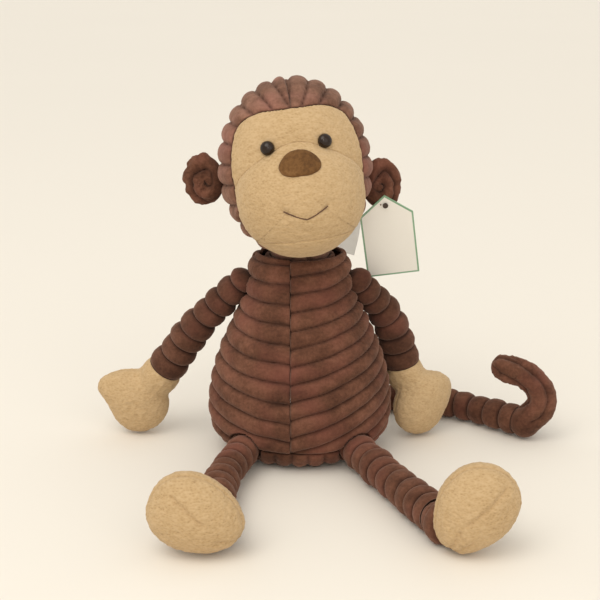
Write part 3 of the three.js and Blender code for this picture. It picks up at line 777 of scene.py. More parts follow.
def buildNeckRoll():
    spec = neckRoll
    middle = pivot["head_turn"] * [1, 1, 0]
    round_, tube = np.meshgrid(wholeTurn(209), wholeTurn(25))
    beat = (round_ * spec["lumps"] / (2 * np.pi)) % 1
    bulge = halfRound((2 * beat - 1) * 0.98)
    reach = spec["tube"] * (0.72 + 0.28 * bulge)
    r = spec["radius"] + reach * np.cos(tube)
    z = spec["height"] + reach * np.sin(tube) * 1.15
    points = np.stack([r * np.cos(round_), r * np.sin(round_), z], -1) + middle
    points = points + unit(points - middle - [0, 0, spec["height"]]) * (
        0.15 * lumps(points, 2.5, 21))[..., None]
    closeRound(points)
    points[-1] = points[0]
    # painted shade between the roll's lumps
    return gridPiece("neck_cord_roll", points, looks["cord"], {"groove": 1 - bulge})


settle(buildNeckRoll(), "neck", ["neck_seam"])

# head
head = {
    "centre": np.array([-3, -6, 190]),
    "turn": spin(-5, -6.5, 5),
    "half": np.array([45.5, 42, 54]),
    "muzzleAt": np.array([0, -22, -15]),
    "muzzleHalf": np.array([38.5, 34, 36.5]),
    "neckRadius": 24.4,
    "heart": np.array([0, -8, -8]),
    "flank": [(34, -64), (38, -22), (39.5, 0), (38, 17), (32, 31), (20, 37.5), (0, 38.5)],
    "faceBack": -12,
    "arch": [(-40, -7), (-34.5, 2), (-26, 9), (-13.5, 16.2), (0, 19.5), (13.5, 16.2), (26, 9),
             (34.5, 2), (40, -7)],
    "stepReach": 9,
    "tuck": 0.022,        # each face panel starts under the one before it
    "chin": -39,
    "cordCrest": 2.4,
    "cordDepth": 4.1,
    "cordPitch": 11.0,
    "cordPole": 15,
    "cordArc": 52,
    "cordStart": {"left": 0.15, "right": 0.62},
    "fleeceLumps": 0.28,
    "fleeceWall": 1.6,
}
headFrame = head["turn"]
neckInHead = (pivot["head_turn"] - head["centre"]) @ headFrame


def inWorld(points):
    return points @ headFrame.T + head["centre"]


def headField(points):
    core = egg(points, np.zeros(3), head["half"])
    muzzle = egg(points, head["muzzleAt"], head["muzzleHalf"])
    neck = np.linalg.norm(points - neckInHead, axis=-1) - head["neckRadius"]
    return melt(melt(core, muzzle, 3.0), neck, 3.0)


def headRay(angle, polar):        # polar is 0 straight out of the face and pi at the back
    angle, polar = np.broadcast_arrays(angle, polar)
    out = np.sin(polar)
    ray = np.stack([out * np.cos(angle), -np.cos(polar), out * np.sin(angle)], -1)
    return castRays(head["heart"], ray, headField)


flankLine = splineThrough(head["flank"])
archLine = splineThrough(head["arch"])


def outsideFace(p):
    width = np.interp(p[..., 2], flankLine[:, 1], flankLine[:, 0])
    beyond = np.maximum(np.abs(p[..., 0]) - width, p[..., 2] - head["flank"][-1][1])
    return np.maximum(beyond, p[..., 1] - head["faceBack"])


def aboveArch(p):
    return p[..., 2] - np.interp(p[..., 0], archLine[:, 0], archLine[:, 1])


def belowChin(p):
    return head["chin"] + 0.0012 * p[..., 0] ** 2 - p[..., 2]


def firstCrossing(values, polar):
    sign = values > 0
    first = np.argmax(sign, axis=0)
    first = np.where(sign.any(axis=0), np.maximum(first, 1), len(polar) - 1)
    cols = np.arange(values.shape[1])
    a, b = values[first - 1, cols], values[first, cols]
    share = np.clip(a / np.where(np.abs(a - b) < 1e-9, 1, a - b), 0, 1)
    found = polar[first - 1] + (polar[first] - polar[first - 1]) * share
    return np.where(sign.any(axis=0), found, np.pi)


angles = np.linspace(-np.pi, np.pi, 361)
polars = np.linspace(0.02, np.pi - 0.02, 260)
surface = headRay(angles[None, :], polars[:, None])
faceEdge = firstCrossing(outsideFace(surface), polars)
archEdge = np.where(np.sin(angles) > -0.3, firstCrossing(aboveArch(surface), polars), np.pi)
chinEdge = np.where(np.sin(angles) < -0.2, firstCrossing(belowChin(surface), polars), np.pi)

# a dent is its depth and its reach
eyes = {"x": 17, "z": 17.5, "radius": 4.3, "rise": 3.4, "standoff": 0.4, "dent": (1.2, 6.0)}
mouth = {
    "halfWidth": 12.8, "z": -24.5, "curl": 6, "bow": 1.3, "thread": 0.42, "proud": 0.25,
    "dent": (0.45, 1.5), "cornerDent": (0.7, 3.2),
}
nose = {
    "outline": [(0, 0.2), (6.4, 0.5), (11.0, 2.5), (12.4, 6.0), (9.7, 10.4), (5.2, 13.6),
                (0, 14.7)],
    "middle": 6.8,
    "edge": 0.5,
    "rise": 2.1,
    "roll": 3.0,
    "wall": 1.2,
}


def eyeSeat(side):
    half = head["half"]
    y = -half[1] * np.sqrt(1 - (eyes["x"] / half[0]) ** 2 - (eyes["z"] / half[2]) ** 2)
    at = np.array([side * eyes["x"], y, eyes["z"]])
    return at, unit(at / half ** 2)


def frontSurface(x, z, lift=0.0):        # the head's front at that place, moved out along its face
    start = np.stack([x, np.full_like(x, -10.0), z], -1)
    ray = np.broadcast_to(np.array([0.0, -1.0, 0.0]), start.shape)
    p = castRays(start, ray, headField)
    step = 0.4
    slope = np.stack([headField(p + step * np.eye(3)[k]) - headField(p - step * np.eye(3)[k])
                      for k in range(3)], -1)
    return p + unit(slope) * lift


def mouthLine(count):
    across = np.linspace(-1, 1, count)
    return across * mouth["halfWidth"], mouth["z"] + mouth["curl"] * np.abs(across) ** mouth["bow"]


def dent(distance, depth, reach):
    return depth * np.exp(-(distance / reach) ** 2)


def dents(p):        # how far the fleece dips round the eyes and along the mouth
    dip = 0
    for side in sides.values():
        at, _ = eyeSeat(side)
        dip = dip + dent(np.linalg.norm(p - at, axis=-1), *eyes["dent"])
    x, z = mouthLine(25)
    line = frontSurface(x, z)
    near = np.full(p.shape[:-1], 1e9)
    for spot in line:
        near = np.minimum(near, np.linalg.norm(p - spot, axis=-1))
    corners = np.minimum(*[np.linalg.norm(p - line[end], axis=-1) for end in (0, -1)])
    return dip + dent(near, *mouth["dent"]) + dent(corners, *mouth["cornerDent"])


def facePanel(name, spec):
    # a fleece panel between two edges given as polar angles round the face
    pick = spec["to"] - spec["from"] > 0.02
    wrap = pick.all()
    cols = np.flatnonzero(pick)
    start, end = spec["from"][cols], spec["to"][cols]
    share = (1 - np.cos(np.linspace(0, np.pi, spec["rows"]))) / 2
    share = 0.5 * share + 0.5 * np.linspace(0, 1, spec["rows"])
    first = np.where(start > 0, start - head["tuck"], 0)
    polar = first[None, :] + (end - first)[None, :] * share[:, None]
    p = headRay(angles[cols][None, :], polar)
    run = lengthsAlong(p)
    fromStart = np.where(start[None, :] > 0, run, 99)
    under = 1 - ease((fromStart + 0.2) / 1.6)
    step = spec["step"] * (1 - ease(fromStart / head["stepReach"]))
    edge = rollOver(run[-1][None, :] - run, spec["roll"]) * rollOver(fromStart, spec["roll"])
    p, edge, under, step = facingOut(head["heart"], p, edge, under, step, wrap=wrap)
    normals, seed = gridNormals(p, wrap), spec["seed"]
    fuzz = head["fleeceLumps"] * lumps(p * [0.6, 1, 1.3], 2.6, seed) + 0.5 * lumps(p, 17, seed + 1)
    fuzz = fuzz + 0.12 * lumps(p, 1.2, seed + 2)
    rise = spec["sink"] * (edge - 1) + fuzz - dents(p) + 0.6 - 1.2 * under - step
    p = p + normals * rise[..., None]
    if wrap:
        closeRound(p)
    # painted shade along the panel's rolled edges, at the seams
    seam = np.clip(1 - edge * 1.25, 0, 1) ** 2
    return sewnShell(name, inWorld(p), head["fleeceWall"], looks["fleece"], {"groove": seam}, wrap)


# step is how far a panel sinks behind the one that it starts under
fleecePanels = {
    "muzzle": {
        "from": np.zeros(len(angles)), "to": np.minimum(np.minimum(archEdge, faceEdge), chinEdge),
        "rows": 110, "roll": 4.5, "sink": 1.4, "step": 0, "seed": 31, "node": "muzzle_panel",
    },
    "forehead": {
        "from": archEdge, "to": faceEdge,
        "rows": 60, "roll": 3.0, "sink": 0.8, "step": 0.8, "seed": 34, "node": "face_panel",
    },
    "chin": {
        "from": chinEdge, "to": faceEdge,
        "rows": 50, "roll": 3.0, "sink": 0.7, "step": 0, "seed": 37, "node": "chin_panel",
    },
}
for name, spec in fleecePanels.items():
    settle(facePanel(f"{name}_fleece", spec), "head", [spec["node"]])

# ears, which the crown leaves room for
ear = {
    "half": np.array([12.5, 7, 16]),
    "y": 14,
    "z": {"left": -19, "right": -2},
    "room": 8,
    "roomDip": 1.6,
    "gap": 0.9,
    "coils": 1.45,
    "wander": 0.26,
    "backPitch": 9.5,
    "cup": (3.0, 0.55),
    "depth": 4.4,
    "crest": 1.3,
}


def crownPanel(key, side, seed):
    spec = head
    turn = np.linspace(-np.pi / 2, np.pi / 2, 170)
    angle = turn if side > 0 else np.pi - turn
    wrapped = (angle + np.pi) % (2 * np.pi) - np.pi
    start = np.interp(wrapped, angles, faceEdge) + 0.004
    share = np.linspace(0, 1, 170)[:, None]
    polar = start[None, :] + (np.pi - 0.012 - start)[None, :] * share
    p = headRay(angle[None, :], polar)
    run = lengthsAlong(p)
    seamSide = np.abs(p[..., 0])
    bend = np.arctan2(p[..., 2] - 4, seamSide + spec["cordPole"])
    coordinate = bend * spec["cordArc"] / spec["cordPitch"] + spec["cordStart"][key]
    edge = (0.35 + 0.65 * rollOver(run, 4.5)) * (0.55 + 0.45 * rollOver(seamSide, 3.5))
    p, coordinate, edge = facingOut(spec["heart"], p, coordinate, edge)
    neckNear = ease((np.linalg.norm(p - neckInHead, axis=-1) - spec["neckRadius"] - 0.5) / 7)
    root = np.array([side * spec["half"][0] * 0.9, ear["y"], ear["z"][key]])
    earNear = ease((np.linalg.norm(p - root, axis=-1) - ear["room"]) / 7)
    depth = spec["cordDepth"] * (0.25 + 0.75 * neckNear)
    crest = spec["cordCrest"] * neckNear - ear["roomDip"] * (1 - earNear)
    p, groove = sewWales(p, coordinate, edge, depth, crest, seed)
    return sewnShell(f"crown_{key}_wales", inWorld(p), 2.0, looks["crown"], {"groove": groove})


for key, side, seed, nodes in (("left", 1, 41, ["crown_left", "head_stuffing"]),
                               ("right", -1, 47, ["crown_right"])):
    settle(crownPanel(key, side, seed), "head", nodes)
print("head sewn")


def buildNose():
    half = splineThrough(nose["outline"], 12)
    outline = np.concatenate([half, (half * [-1, 1])[::-1][1:]])
    middle = np.array([0, nose["middle"]])
    share = np.linspace(0, 1, 26)[:, None, None]
    flat = middle + (outline - middle)[None] * share
    reach = np.linalg.norm(outline - middle, axis=-1)[None, :] * (1 - share[..., 0])
    lift = nose["edge"] + nose["rise"] * rollOver(reach, nose["roll"])
    p = frontSurface(flat[..., 0], flat[..., 1])
    up = frontSurface(flat[..., 0], flat[..., 1], 1.0) - p
    p = p + up * (lift + 0.12 * lumps(p, 1.6, 51))[..., None]
    closeRound(p)
    p, = facingOut(head["heart"], p, wrap=True)
    return sewnShell("nose_suede", inWorld(p), nose["wall"], looks["suede"], None, True)


settle(buildNose(), "head", ["nose_patch"])


def buildMouth():
    path, radius = Path(inWorld(frontSurface(*mouthLine(25), mouth["proud"]))), mouth["thread"]
    s, turn = np.meshgrid(np.linspace(-radius * 0.9, path.length + radius * 0.9, 150),
                          wholeTurn(17), indexing="ij")
    end = np.minimum(s + radius, path.length + radius - s)
    r = radius * rollOver(end, radius) * (0.85 + 0.15 * np.abs(np.sin(s * 1.15 + turn)))
    points = path.place(s, r, turn)
    closeRound(points)
    closeEnds(points)
    return gridPiece("mouth_thread", points, looks["thread"])


settle(buildMouth(), "head", ["mouth_stitch"])


def buildEye(name, side):
    at, outward = eyeSeat(side)
    across = unit(np.cross(outward, [0, 0, 1.0]))
    lift = np.cross(across, outward)
    radius, foot = eyes["radius"], eyes["standoff"]
    profile = [(0, -2.5), (radius * 0.75, -2.5), (radius * 0.98, -1.2)]        # sunk in the fleece
    profile += [(radius * np.cos(a), foot + eyes["rise"] * np.sin(a))
                for a in np.linspace(0, np.pi / 2, 20)]
    profile[-1] = (0, profile[-1][1])
    turn = wholeTurn(49)
    ring = across * np.cos(turn)[:, None] + lift * np.sin(turn)[:, None]
    points = np.array([at + outward * h + ring * r for r, h in profile])
    closeRound(points)
    return gridPiece(f"{name}_eye_dome", inWorld(points), looks["eye"])


for name, side in sides.items():
    settle(buildEye(name, side), "head", [f"{name}_eye"])
    refinish(f"{name}_eye_washer", looks["washer"])
print("face finished")


def buildEar(name, side):
    half, y, z = ear["half"], ear["y"], ear["z"][name]
    root = head["half"][0] * np.sqrt(1 - (y / head["half"][1]) ** 2 - (z / head["half"][2]) ** 2)
    centre = np.array([side * (root + ear["gap"] + half[0]), y, z])
    q, faces = cubeSphere(56)
    p = centre + q / np.linalg.norm(q / half, axis=-1, keepdims=True)
    local = (p - centre) / half
    out = np.hypot(local[..., 0], local[..., 2])
    turn = np.arctan2(local[..., 2], local[..., 0] * side)
    coil = out * ear["coils"] + turn / (2 * np.pi)
    coil = coil + ear["wander"] * lumps(p, 6.5, 60 + side)
    front = ease(-local[..., 1] * 3 + 0.6)
    wales = p[..., 2] / ear["backPitch"] + 0.1 * lumps(p, 14, 63)
    coordinate = np.where(front > 0.5, coil, wales)
    bulge = halfRound((2 * (coordinate % 1) - 1) * 0.97)
    flat = np.abs(front - 0.5) * 2
    bulge = bulge * flat + 0.6 * (1 - flat)
    cup = dent(out, *ear["cup"]) * front
    normals = unit((p - centre) / half ** 2)
    rise = ear["crest"] - ear["depth"] * (1 - bulge) - cup
    rise = rise + 0.9 * lumps(p, 3.6, 64) + 0.45 * lumps(p, 1.5, 65)
    inner = ease((0.55 + local[..., 0] * side) / 0.5)
    rise = rise * inner - 0.6 * (1 - inner)
    p = p + normals * rise[..., None]
    # painted shade between the ear's wales
    groove = np.clip((1 - bulge) * 1.4 - 0.2, 0, 1)
    return makePiece(f"{name}_ear_curl", inWorld(p), faces, looks["cord"], {"groove": groove})


for name, side in sides.items():
    nodes = [f"{name}_ear_{part}" for part in ("front", "back", "padding")]
    settle(buildEar(name, side), f"{name}_ear", nodes)
print("ears curled")


# sleeves
sleeve = {"lastTurn": 0.62, "start": 0.96, "cupRoom": 0.7, "cupRows": 9, "cols": 73}


def waleRows(start, end, pitch, seed, lastTurn):
    # where each row of a sleeve lies along it, how high it stands in its wale, and its wale
    count = max(2, round((end - start) / pitch))
    cells = np.stack([np.arange(count), np.full(count, seed), np.zeros(count)], -1)
    sizes = 1 + 0.12 * cellValue(cells.astype(np.int64), seed)
    edges = start + np.concatenate([[0], np.cumsum(sizes)]) * (end - start) / sizes.sum()
    rows = []
    for k in range(count):
        middle, half = (edges[k] + edges[k + 1]) / 2, (edges[k + 1] - edges[k]) / 2
        stop = lastTurn if k == count - 1 else 1
        first = -1 if k else -0.999
        for turn in np.linspace(first, stop, 13)[:None if k == count - 1 else -1]:
            a = turn * np.pi / 2
            rows.append((middle + half * np.sin(a), np.cos(a), k))
    return np.array(rows)


def buildSleeve(name):
    spec, path = limbs[name], limbPath[name]
    near, far, depth = spec["near"], spec["far"], spec["depth"]
    rim, first = path.length - spec["rim"] * far, near * sleeve["start"]
    s, bulge, wale = waleRows(-first, rim, spec["pitch"], spec["seed"], sleeve["lastTurn"]).T
    s = -first + (s + first) * (rim + first) / (s[-1] + first)
    turn = wholeTurn(sleeve["cols"])
    base = near + (far - near) * np.clip(s, 0, None) / path.length
    cap = np.sqrt(np.clip(near ** 2 - np.minimum(s, 0) ** 2, 0, None)) / near
    base = base * cap
    index = np.stack([wale, wale * 0, wale * 0], -1).astype(np.int64)
    size = 1 + 0.045 * cellValue(index, spec["seed"] + 20)
    size[wale == wale.max()] = 1
    r = (base * size - depth * (1 - bulge) * cap)[:, None] + 0 * turn
    lean = 0.16 * cellValue(index, spec["seed"] + 40) * np.sin(np.pi * np.clip(s / rim, 0, 1))
    swing = cellValue(index, spec["seed"] + 60) * np.pi
    shifted = s[:, None] + lean[:, None] * r * np.cos(turn - swing[:, None])
    points = path.place(shifted, r, turn)
    middle = path.place(shifted, 0 * r, turn)
    out = unit(points - middle + 1e-9)
    soft = (bulge * cap)[:, None]
    soft = soft * np.clip((rim - s) / 3, 0.15, 1)[:, None]
    rough = 0.55 * lumps(points, 9, spec["seed"]) + 0.25 * lumps(points, 2.8, spec["seed"] + 1)
    rough = rough + 0.14 * lumps(points, 1.3, spec["seed"] + 2)
    points = points + out * (rough * soft)[..., None]
    ball = far + sleeve["cupRoom"]        # the end is hollow, round the ball of the joint
    start = np.arccos((path.length - rim) / ball)
    cup = [path.place(path.length - ball * np.cos(a), ball * np.sin(a), turn)
           for a in np.linspace(start, 0, sleeve["cupRows"])]
    points = np.concatenate([points, np.array(cup)])
    closeRound(points)
    points[0] = points[0].mean(0)
    bulge = np.concatenate([bulge, np.zeros(len(cup))])
    # painted shade between the sleeve's wales
    groove = np.clip((1 - bulge) * 1.6 - 0.45, 0, 1)[:, None] + 0 * points[..., 0]
    look = looks["arm" if "arm" in name else "cord"]
    return gridPiece(f"{name}_wales", points, look, {"groove": groove})


for name in limbs:
    settle(buildSleeve(name), name, [f"{name}_sleeve", f"{name}_stuffing"])
print("sleeves sewn")

# the last wale of each leg, sewn to the foot
ankleWale = {"radius": 8.4, "tube": 4.6, "along": 4.0, "wide": 1.25, "floorGap": 0.2}


def buildAnkleWale(name, side):
    spec, path = ankleWale, limbPath[f"{name}_leg"]
    turn, tube = np.meshgrid(wholeTurn(97), wholeTurn(33))
    s = path.length + spec["along"] + spec["tube"] * spec["wide"] * np.sin(tube)
    points = path.place(s, spec["radius"] + spec["tube"] * np.cos(tube), turn)
    middle = path.place(path.length + spec["along"], spec["radius"], turn)
    rough = 0.35 * lumps(points, 5, 140 + side) + 0.16 * lumps(points, 1.4, 142)
    points = points + unit(points - middle) * rough[..., None]
    offFloor(points, spec["floorGap"])
    points[-1] = points[0]
    # painted shade where the wale meets the leg and the foot
    groove = np.clip(np.abs(np.sin(tube)) * 1.6 - 0.9, 0, 1)
    return gridPiece(f"{name}_ankle_wale", points, looks["cord"], {"groove": groove})


for name, side in sides.items():
    settle(buildAnkleWale(name, side), f"{name}_foot", [])
print("ankles sewn")

# the tail's curled end, with its wales twisted along it
tailCurl = {
    "bend": [(161, 12, 24), (160, 10, 36), (150, 9.5, 47)],
    "tip": (135, 10, 52.5),
    "near": 10.5,
    "far": 8.5,
    "wales": 4,
    "twist": 1.1,
    "depth": 3.2,
    "startReach": 9,
    "rawFrom": 0.45,        # where along it the cloth starts to be gathered
    "rawReach": 0.4,
}


def buildTailTip():
    spec = tailCurl
    path = Path([pivot["tail_curl"], *spec["bend"], spec["tip"]])
    near, far = spec["near"], spec["far"]
    s = np.concatenate([-near * np.cos(np.linspace(0.05, np.pi / 2, 14)),
                        np.linspace(0, path.length, 90)[1:],
                        path.length + far * np.sin(np.linspace(0, np.pi / 2 - 0.05, 14)[1:])])
    turn = wholeTurn(97)
    base = near + (far - near) * np.clip(s / path.length, 0, 1)
    cap = np.sqrt(np.clip(near ** 2 - np.minimum(s, 0) ** 2, 0, None)) / near
    over = np.clip(s - path.length, 0, far)
    cap = cap * np.sqrt(np.clip(far ** 2 - over ** 2, 0, None)) / far
    r = (base * cap)[:, None] + 0 * turn
    points = path.place(s[:, None], r, turn)
    beat = turn[None, :] / (2 * np.pi) * spec["wales"] + (s / path.length)[:, None] * spec["twist"]
    beat = beat + 0.10 * lumps(points, 11, 71)
    beat[:, -1] = beat[:, 0] + spec["wales"]
    bulge = halfRound((2 * (beat % 1) - 1) * 0.97)
    start = ease(s / spec["startReach"])[:, None]
    bulge = bulge * start + (1 - start)
    middle = path.place(s[:, None], 0 * r, turn)
    out = unit(points - middle + 1e-9)
    raw = (s - path.length * spec["rawFrom"]) / (path.length * spec["rawReach"])
    raw = ease(raw)[:, None]
    rise = -spec["depth"] * (1 - bulge) * cap[:, None] + 0.3 * start
    rise = rise + (0.3 + 0.5 * raw) * lumps(points, 3.0, 72) * (0.2 + 0.8 * start)
    rise = rise + (0.12 + 0.3 * raw) * lumps(points, 1.3, 73) * (0.2 + 0.8 * start)
    points = points + out * rise[..., None]
    closeRound(points)
    closeEnds(points)
    # painted shade between the tail's wales
    groove = np.clip((1 - bulge) * 1.5 - 0.3, 0, 1)
    return gridPiece("tail_tip_wales", points, looks["cord"], {"groove": groove})


settle(buildTailTip(), "tail_tip", ["tail_tip_sleeve", "tail_tip_stuffing"])
print("tail curled")

# hands and feet
padding = {"pressure": 4.0, "cap": 1.4, "room": 0.8, "floorGap": 0.2, "seamWidth": 0.9, "knit": 5.0}
hands = {
    "palm": np.array([21, 12.5, 22]),
    "thumb": np.array([15, 8, 9.5]),
    "thumbAt": {"left": (8.5, 0, 11), "right": (13, 0, 11.5)},
    "web": 12,
    "centre": {"left": (81, 21, 22.6), "right": (-109, 25, 22.6)},
    "turn": {"left": 28, "right": 0},
    "cuff": 13.5,
}
feet = {
    "pad": np.array([22.5, 16, 28]),
    "taper": 0.17,
    "centre": {"left": (96, -147, 27), "right": (-57, -148, 24.4)},
    "lean": {"left": 31, "right": -66},
    "cuff": 11.5,
    "seamAt": -3,
    "gather": 4.0,
    "creases": {"left": [((4.9, 21), (-2.9, -4.9)), ((2, -27), (6, -14)), ((0, -27), (-4, -12))],
                "right": [((9, 17), (2, -4)), ((-3, -27), (-6, -15))]},
    "creaseDepth": 1.1,
    "creaseWidth": 1.5,
    "cordRoom": 1.2,        # how far past the ankle the leg's cloth goes
}


def padPiece(name, centre, turn, field, seam, detail, seed):
    # a fleece pad: cut, puffed up, made finer, then given its nap, its seam and painted shade along
    # the seam
    directions, faces = cubeSphere(detail)
    points = castRays(np.zeros(3), directions, field)
    piece = makePiece(name, points, faces, looks["fleece"])
    puffUp(piece, padding["pressure"], padding["cap"])
    subdivide(piece, 2)
    p, n = vertexArrays(piece.data)
    dip, padShade = seam(p)
    fuzz = 0.30 * lumps(p, 2.4, seed) + 0.14 * lumps(p, 1.2, seed + 1)
    fuzz = fuzz + 0.45 * lumps(p, 13, seed + 2)
    p = p + n * (fuzz - dip)[:, None]
    p = p @ turn.T + centre
    p[:, 2] = np.maximum(p[:, 2], padding["floorGap"])
    moveVertices(piece, p)
    piece.data.attributes.new("groove", "FLOAT", "POINT").data.foreach_set(
        "value", padShade.astype(np.float32))
    return piece


def clearOf(p, middle, cuff):        # 0 where the limb goes in, and 1 away from it
    return ease((np.linalg.norm(p - middle, axis=-1) - cuff - 1) / 4)


for name, side in sides.items():
    handTurn = spin(z=hands["turn"][name])
    handAt = np.array(hands["centre"][name], float)
    cuff = (pivot[f"{name}_wrist_flex"] - handAt) @ handTurn

    def handField(p, name=name, side=side, cuff=cuff):
        thumb = egg(p, np.array(hands["thumbAt"][name]) * [side, 1, 1], hands["thumb"])
        palm = egg(p, np.zeros(3), hands["palm"] - padding["room"])
        grip = melt(palm, thumb, hands["web"])
        return melt(grip, np.linalg.norm(p - cuff, axis=-1) - hands["cuff"], padding["knit"])

    def handSeam(p, cuff=cuff):
        edge = dent(p[:, 1], 1, padding["seamWidth"]) * clearOf(p, cuff, hands["cuff"])
        # the seam dips, and its shade is painted
        return 0.9 * edge, 0.5 * edge

    hand = padPiece(f"{name}_hand_fleece", handAt, handTurn, handField, handSeam, 22, 80 + side)
    settle(hand, f"{name}_hand",
           [f"{name}_hand_{part}" for part in ("palm", "back", "stuffing")])

    footTurn = spin(y=feet["lean"][name])
    footAt = np.array(feet["centre"][name], float)
    heel = (pivot[f"{name}_ankle_flex"] - footAt) @ footTurn

    def footField(p, heel=heel):
        slim = 1 + feet["taper"] * np.clip(p[..., 2:] / feet["pad"][2], -1, 1)
        q = p / np.concatenate([slim, np.ones_like(slim), np.ones_like(slim)], axis=-1)
        pad = egg(q, np.zeros(3), feet["pad"])
        return melt(pad, np.linalg.norm(p - heel, axis=-1) - feet["cuff"], padding["knit"])

    def footSeam(p, name=name, heel=heel):
        edge = dent(p[:, 1] - feet["seamAt"], 1, padding["seamWidth"])
        edge = edge * clearOf(p, heel, feet["cuff"])
        toe = [0, feet["seamAt"], -feet["pad"][2]]
        gather = dent(np.linalg.norm(p - toe, axis=-1), 1, feet["gather"])
        fold = np.zeros(len(p))
        for start, end in feet["creases"][name]:
            a, b = np.array(start), np.array(end)
            share = np.clip(((p[:, [0, 2]] - a) @ (b - a)) / ((b - a) @ (b - a)), 0, 1)
            away = np.linalg.norm(p[:, [0, 2]] - a - share[:, None] * (b - a), axis=-1)
            fold = np.maximum(fold, dent(away, 1, feet["creaseWidth"]) * (p[:, 1] < 0))
        dip = 0.8 * edge + 1.6 * gather + feet["creaseDepth"] * fold
        # the seam, the gathered toe and the creases dip, and their shade is painted
        return dip, 0.45 * edge + 0.4 * gather + 0.35 * fold

    foot = padPiece(f"{name}_foot_fleece", footAt, footTurn, footField, footSeam, 24, 90 + side)
    foot.data.materials.append(looks["cord"])        # the leg's cloth goes on round the ankle
    ankleAt = pivot[f"{name}_ankle_flex"] * mm
    for face in foot.data.polygons:
        if np.linalg.norm(np.array(face.center) - ankleAt) < (feet["cuff"] + feet["cordRoom"]) * mm:
            face.material_index = 1
    settle(foot, f"{name}_foot",
           [f"{name}_foot_{part}" for part in ("sole", "upper", "beans")])
print("hands and feet filled")

# hang tag and its pin
tag = {
    "halfWidth": 17,
    "side": 45,
    "gable": 14,
    "thickness": 0.8,
    "holeRadius": 1.1,
    "holeDrop": 7,
    "lean": 16,
    "slant": -8,
    "border": 1.1,
}
tagTurn = np.array(Matrix.Rotation(np.radians(tag["lean"]), 3, "X")
                   @ Matrix.Rotation(np.radians(tag["slant"]), 3, "Y"))


def tagOutline(inset):
    w, top = tag["halfWidth"], tag["holeDrop"]
    eaves = top - tag["gable"]
    slope = np.hypot(w, tag["gable"])
    drop = inset * slope / w
    corner = inset * (slope - tag["gable"]) / w
    foot = eaves - tag["side"] + inset
    return [(0, top - drop), (w - inset, eaves - corner), (w - inset, foot),
            (-w + inset, foot), (-w + inset, eaves - corner)]


def buildTag():
    work = bmesh.new()
    t = tag["thickness"]
    hole = [(tag["holeRadius"] * np.cos(a), tag["holeRadius"] * np.sin(a))
            for a in np.linspace(0, 2 * np.pi, 24, endpoint=False)]

    def ring(points, y):
        return [work.verts.new(tagTurn @ [x * mm, y * mm, z * mm] + pivot["tag_swing"] * mm)
                for x, z in points]

    outline, border = tagOutline(0), tagOutline(tag["border"])
    faces = {}
    for y in (-t, 0):
        outer, inner, rim = ring(outline, y), ring(border, y), ring(hole, y)
        faces[y] = (outer, inner, rim)
        for k in range(5):
            quad = [outer[k], outer[(k + 1) % 5], inner[(k + 1) % 5], inner[k]]
            work.faces.new(quad).material_index = 1
        edges = [work.edges.get((a, b)) or work.edges.new((a, b))
                 for loop in (inner, rim) for a, b in zip(loop, loop[1:] + loop[:1])]
        bmesh.ops.triangle_fill(work, edges=edges, use_beauty=True)
    for part, index in ((0, 1), (2, 0)):
        a, b = faces[-t][part], faces[0][part]
        for k in range(len(a)):
            n = (k + 1) % len(a)
            work.faces.new([a[k], a[n], b[n], b[k]]).material_index = index
    bmesh.ops.recalc_face_normals(work, faces=work.faces)
    mesh = bpy.data.meshes.new("blank_hang_tag")
    work.to_mesh(mesh)
    work.free()
    mesh.materials.append(looks["card"])
    mesh.materials.append(looks["cardEdge"])
    return addObject("blank_hang_tag", mesh)


settle(buildTag(), "hang_tag", ["hang_tag"])
refinish("tag_fastener", looks["nylon"])

# care label
label = {
    "route": [(29, 26, 127), (32, 30, 139), (34, 32, 152)],
    "width": 14,
    "thickness": 0.5,
    "curl": 0.3,
}


def buildLabel():
    path = Path(label["route"])
    s, across = np.meshgrid(np.linspace(0, path.length, 40), np.linspace(-1, 1, 22), indexing="ij")
    middle = path.pick(path.line, s)
    away = unit(np.cross(path.pick(path.tangent, s), [1.0, 0.25, 0]))
    wide = unit(np.cross(away, path.pick(path.tangent, s)))
    curl = label["curl"] * np.sin(s / path.length * 3.0) * across ** 2
    points = middle + wide * (across * label["width"] / 2)[..., None] + away * curl[..., None]
    return sewnShell("care_label_ribbon", points, label["thickness"], looks["satin"]), path.length


ribbon, ribbonLength = buildLabel()
settle(ribbon, "torso", ["care_label"])
print("tags hung")

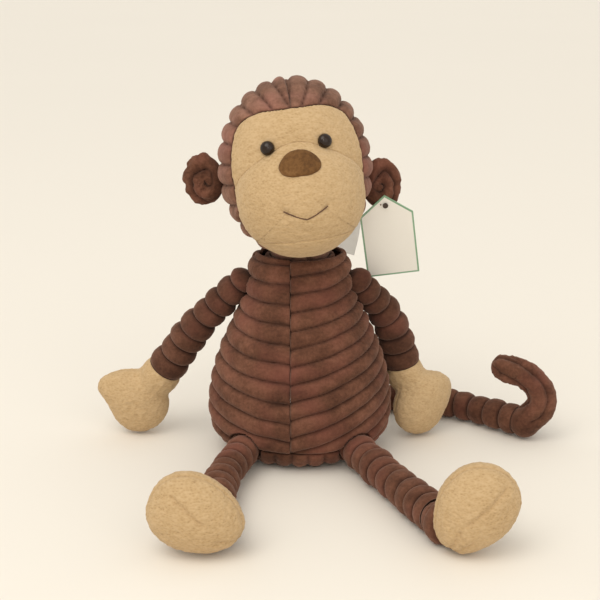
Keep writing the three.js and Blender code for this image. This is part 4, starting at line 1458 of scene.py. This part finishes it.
# floor and light
room = {
    "floorHalf": 14,
    "floorDrop": 1e-4,
    "floorColour": (0.82, 0.775, 0.695),
    "skyColour": (1.0, 0.975, 0.93, 1),
    "skyStrength": 0.80,
    "lampColour": (1, 0.96, 0.90),
    "lights": [
        {"name": "ceiling", "from": (-0.35, -0.45, 1.0), "spread": 50, "power": 0.75},
        {"name": "window", "from": (0.3, -1.0, 0.35), "spread": 70, "power": 0.75},
        {"name": "softbox", "from": (-0.5, -0.7, 1.2), "wide": 0.9, "power": 3.2},
        {"name": "catchlight", "from": (-0.12, -1.1, 0.75), "wide": 0.09, "power": 0.7},
    ],
}
floorLook = Finish("floor")
cloud = floorLook.noise(1.3, 2)
floorTint = floorLook.mix(cloud, tuple(c * 0.98 for c in room["floorColour"]), room["floorColour"])
floorMaterial = floorLook.shine(Base_Color=floorTint, Roughness=0.8, Specular_IOR_Level=0.2)
floorMesh = bpy.data.meshes.new("floor")
corners = [(x * room["floorHalf"], y * room["floorHalf"], -room["floorDrop"])
           for x, y in ((-1, -1), (1, -1), (1, 1), (-1, 1))]
floorMesh.from_pydata(corners, [], [(0, 1, 2, 3)])
floorMesh.materials.append(floorMaterial)
addObject("floor", floorMesh)

world = bpy.context.scene.world or bpy.data.worlds.new("studio")
bpy.context.scene.world = world
world.use_nodes = True
sky = world.node_tree.nodes["Background"]
sky.inputs["Color"].default_value = room["skyColour"]
sky.inputs["Strength"].default_value = room["skyStrength"]
for spec in room["lights"]:
    lamp = bpy.data.lights.new(spec["name"], "SUN" if "spread" in spec else "AREA")
    lamp.energy = spec["power"]
    if "spread" in spec:
        lamp.angle = np.radians(spec["spread"])
    else:
        lamp.shape, lamp.size = "DISK", spec["wide"]
    lamp.color = room["lampColour"]
    holder = addObject(spec["name"], lamp)
    holder.location = spec["from"]
    holder.rotation_mode = "QUATERNION"
    holder.rotation_quaternion = (-holder.location).to_track_quat("-Z", "Y")
bpy.context.scene.view_settings.view_transform = "Standard"
print("studio lit")
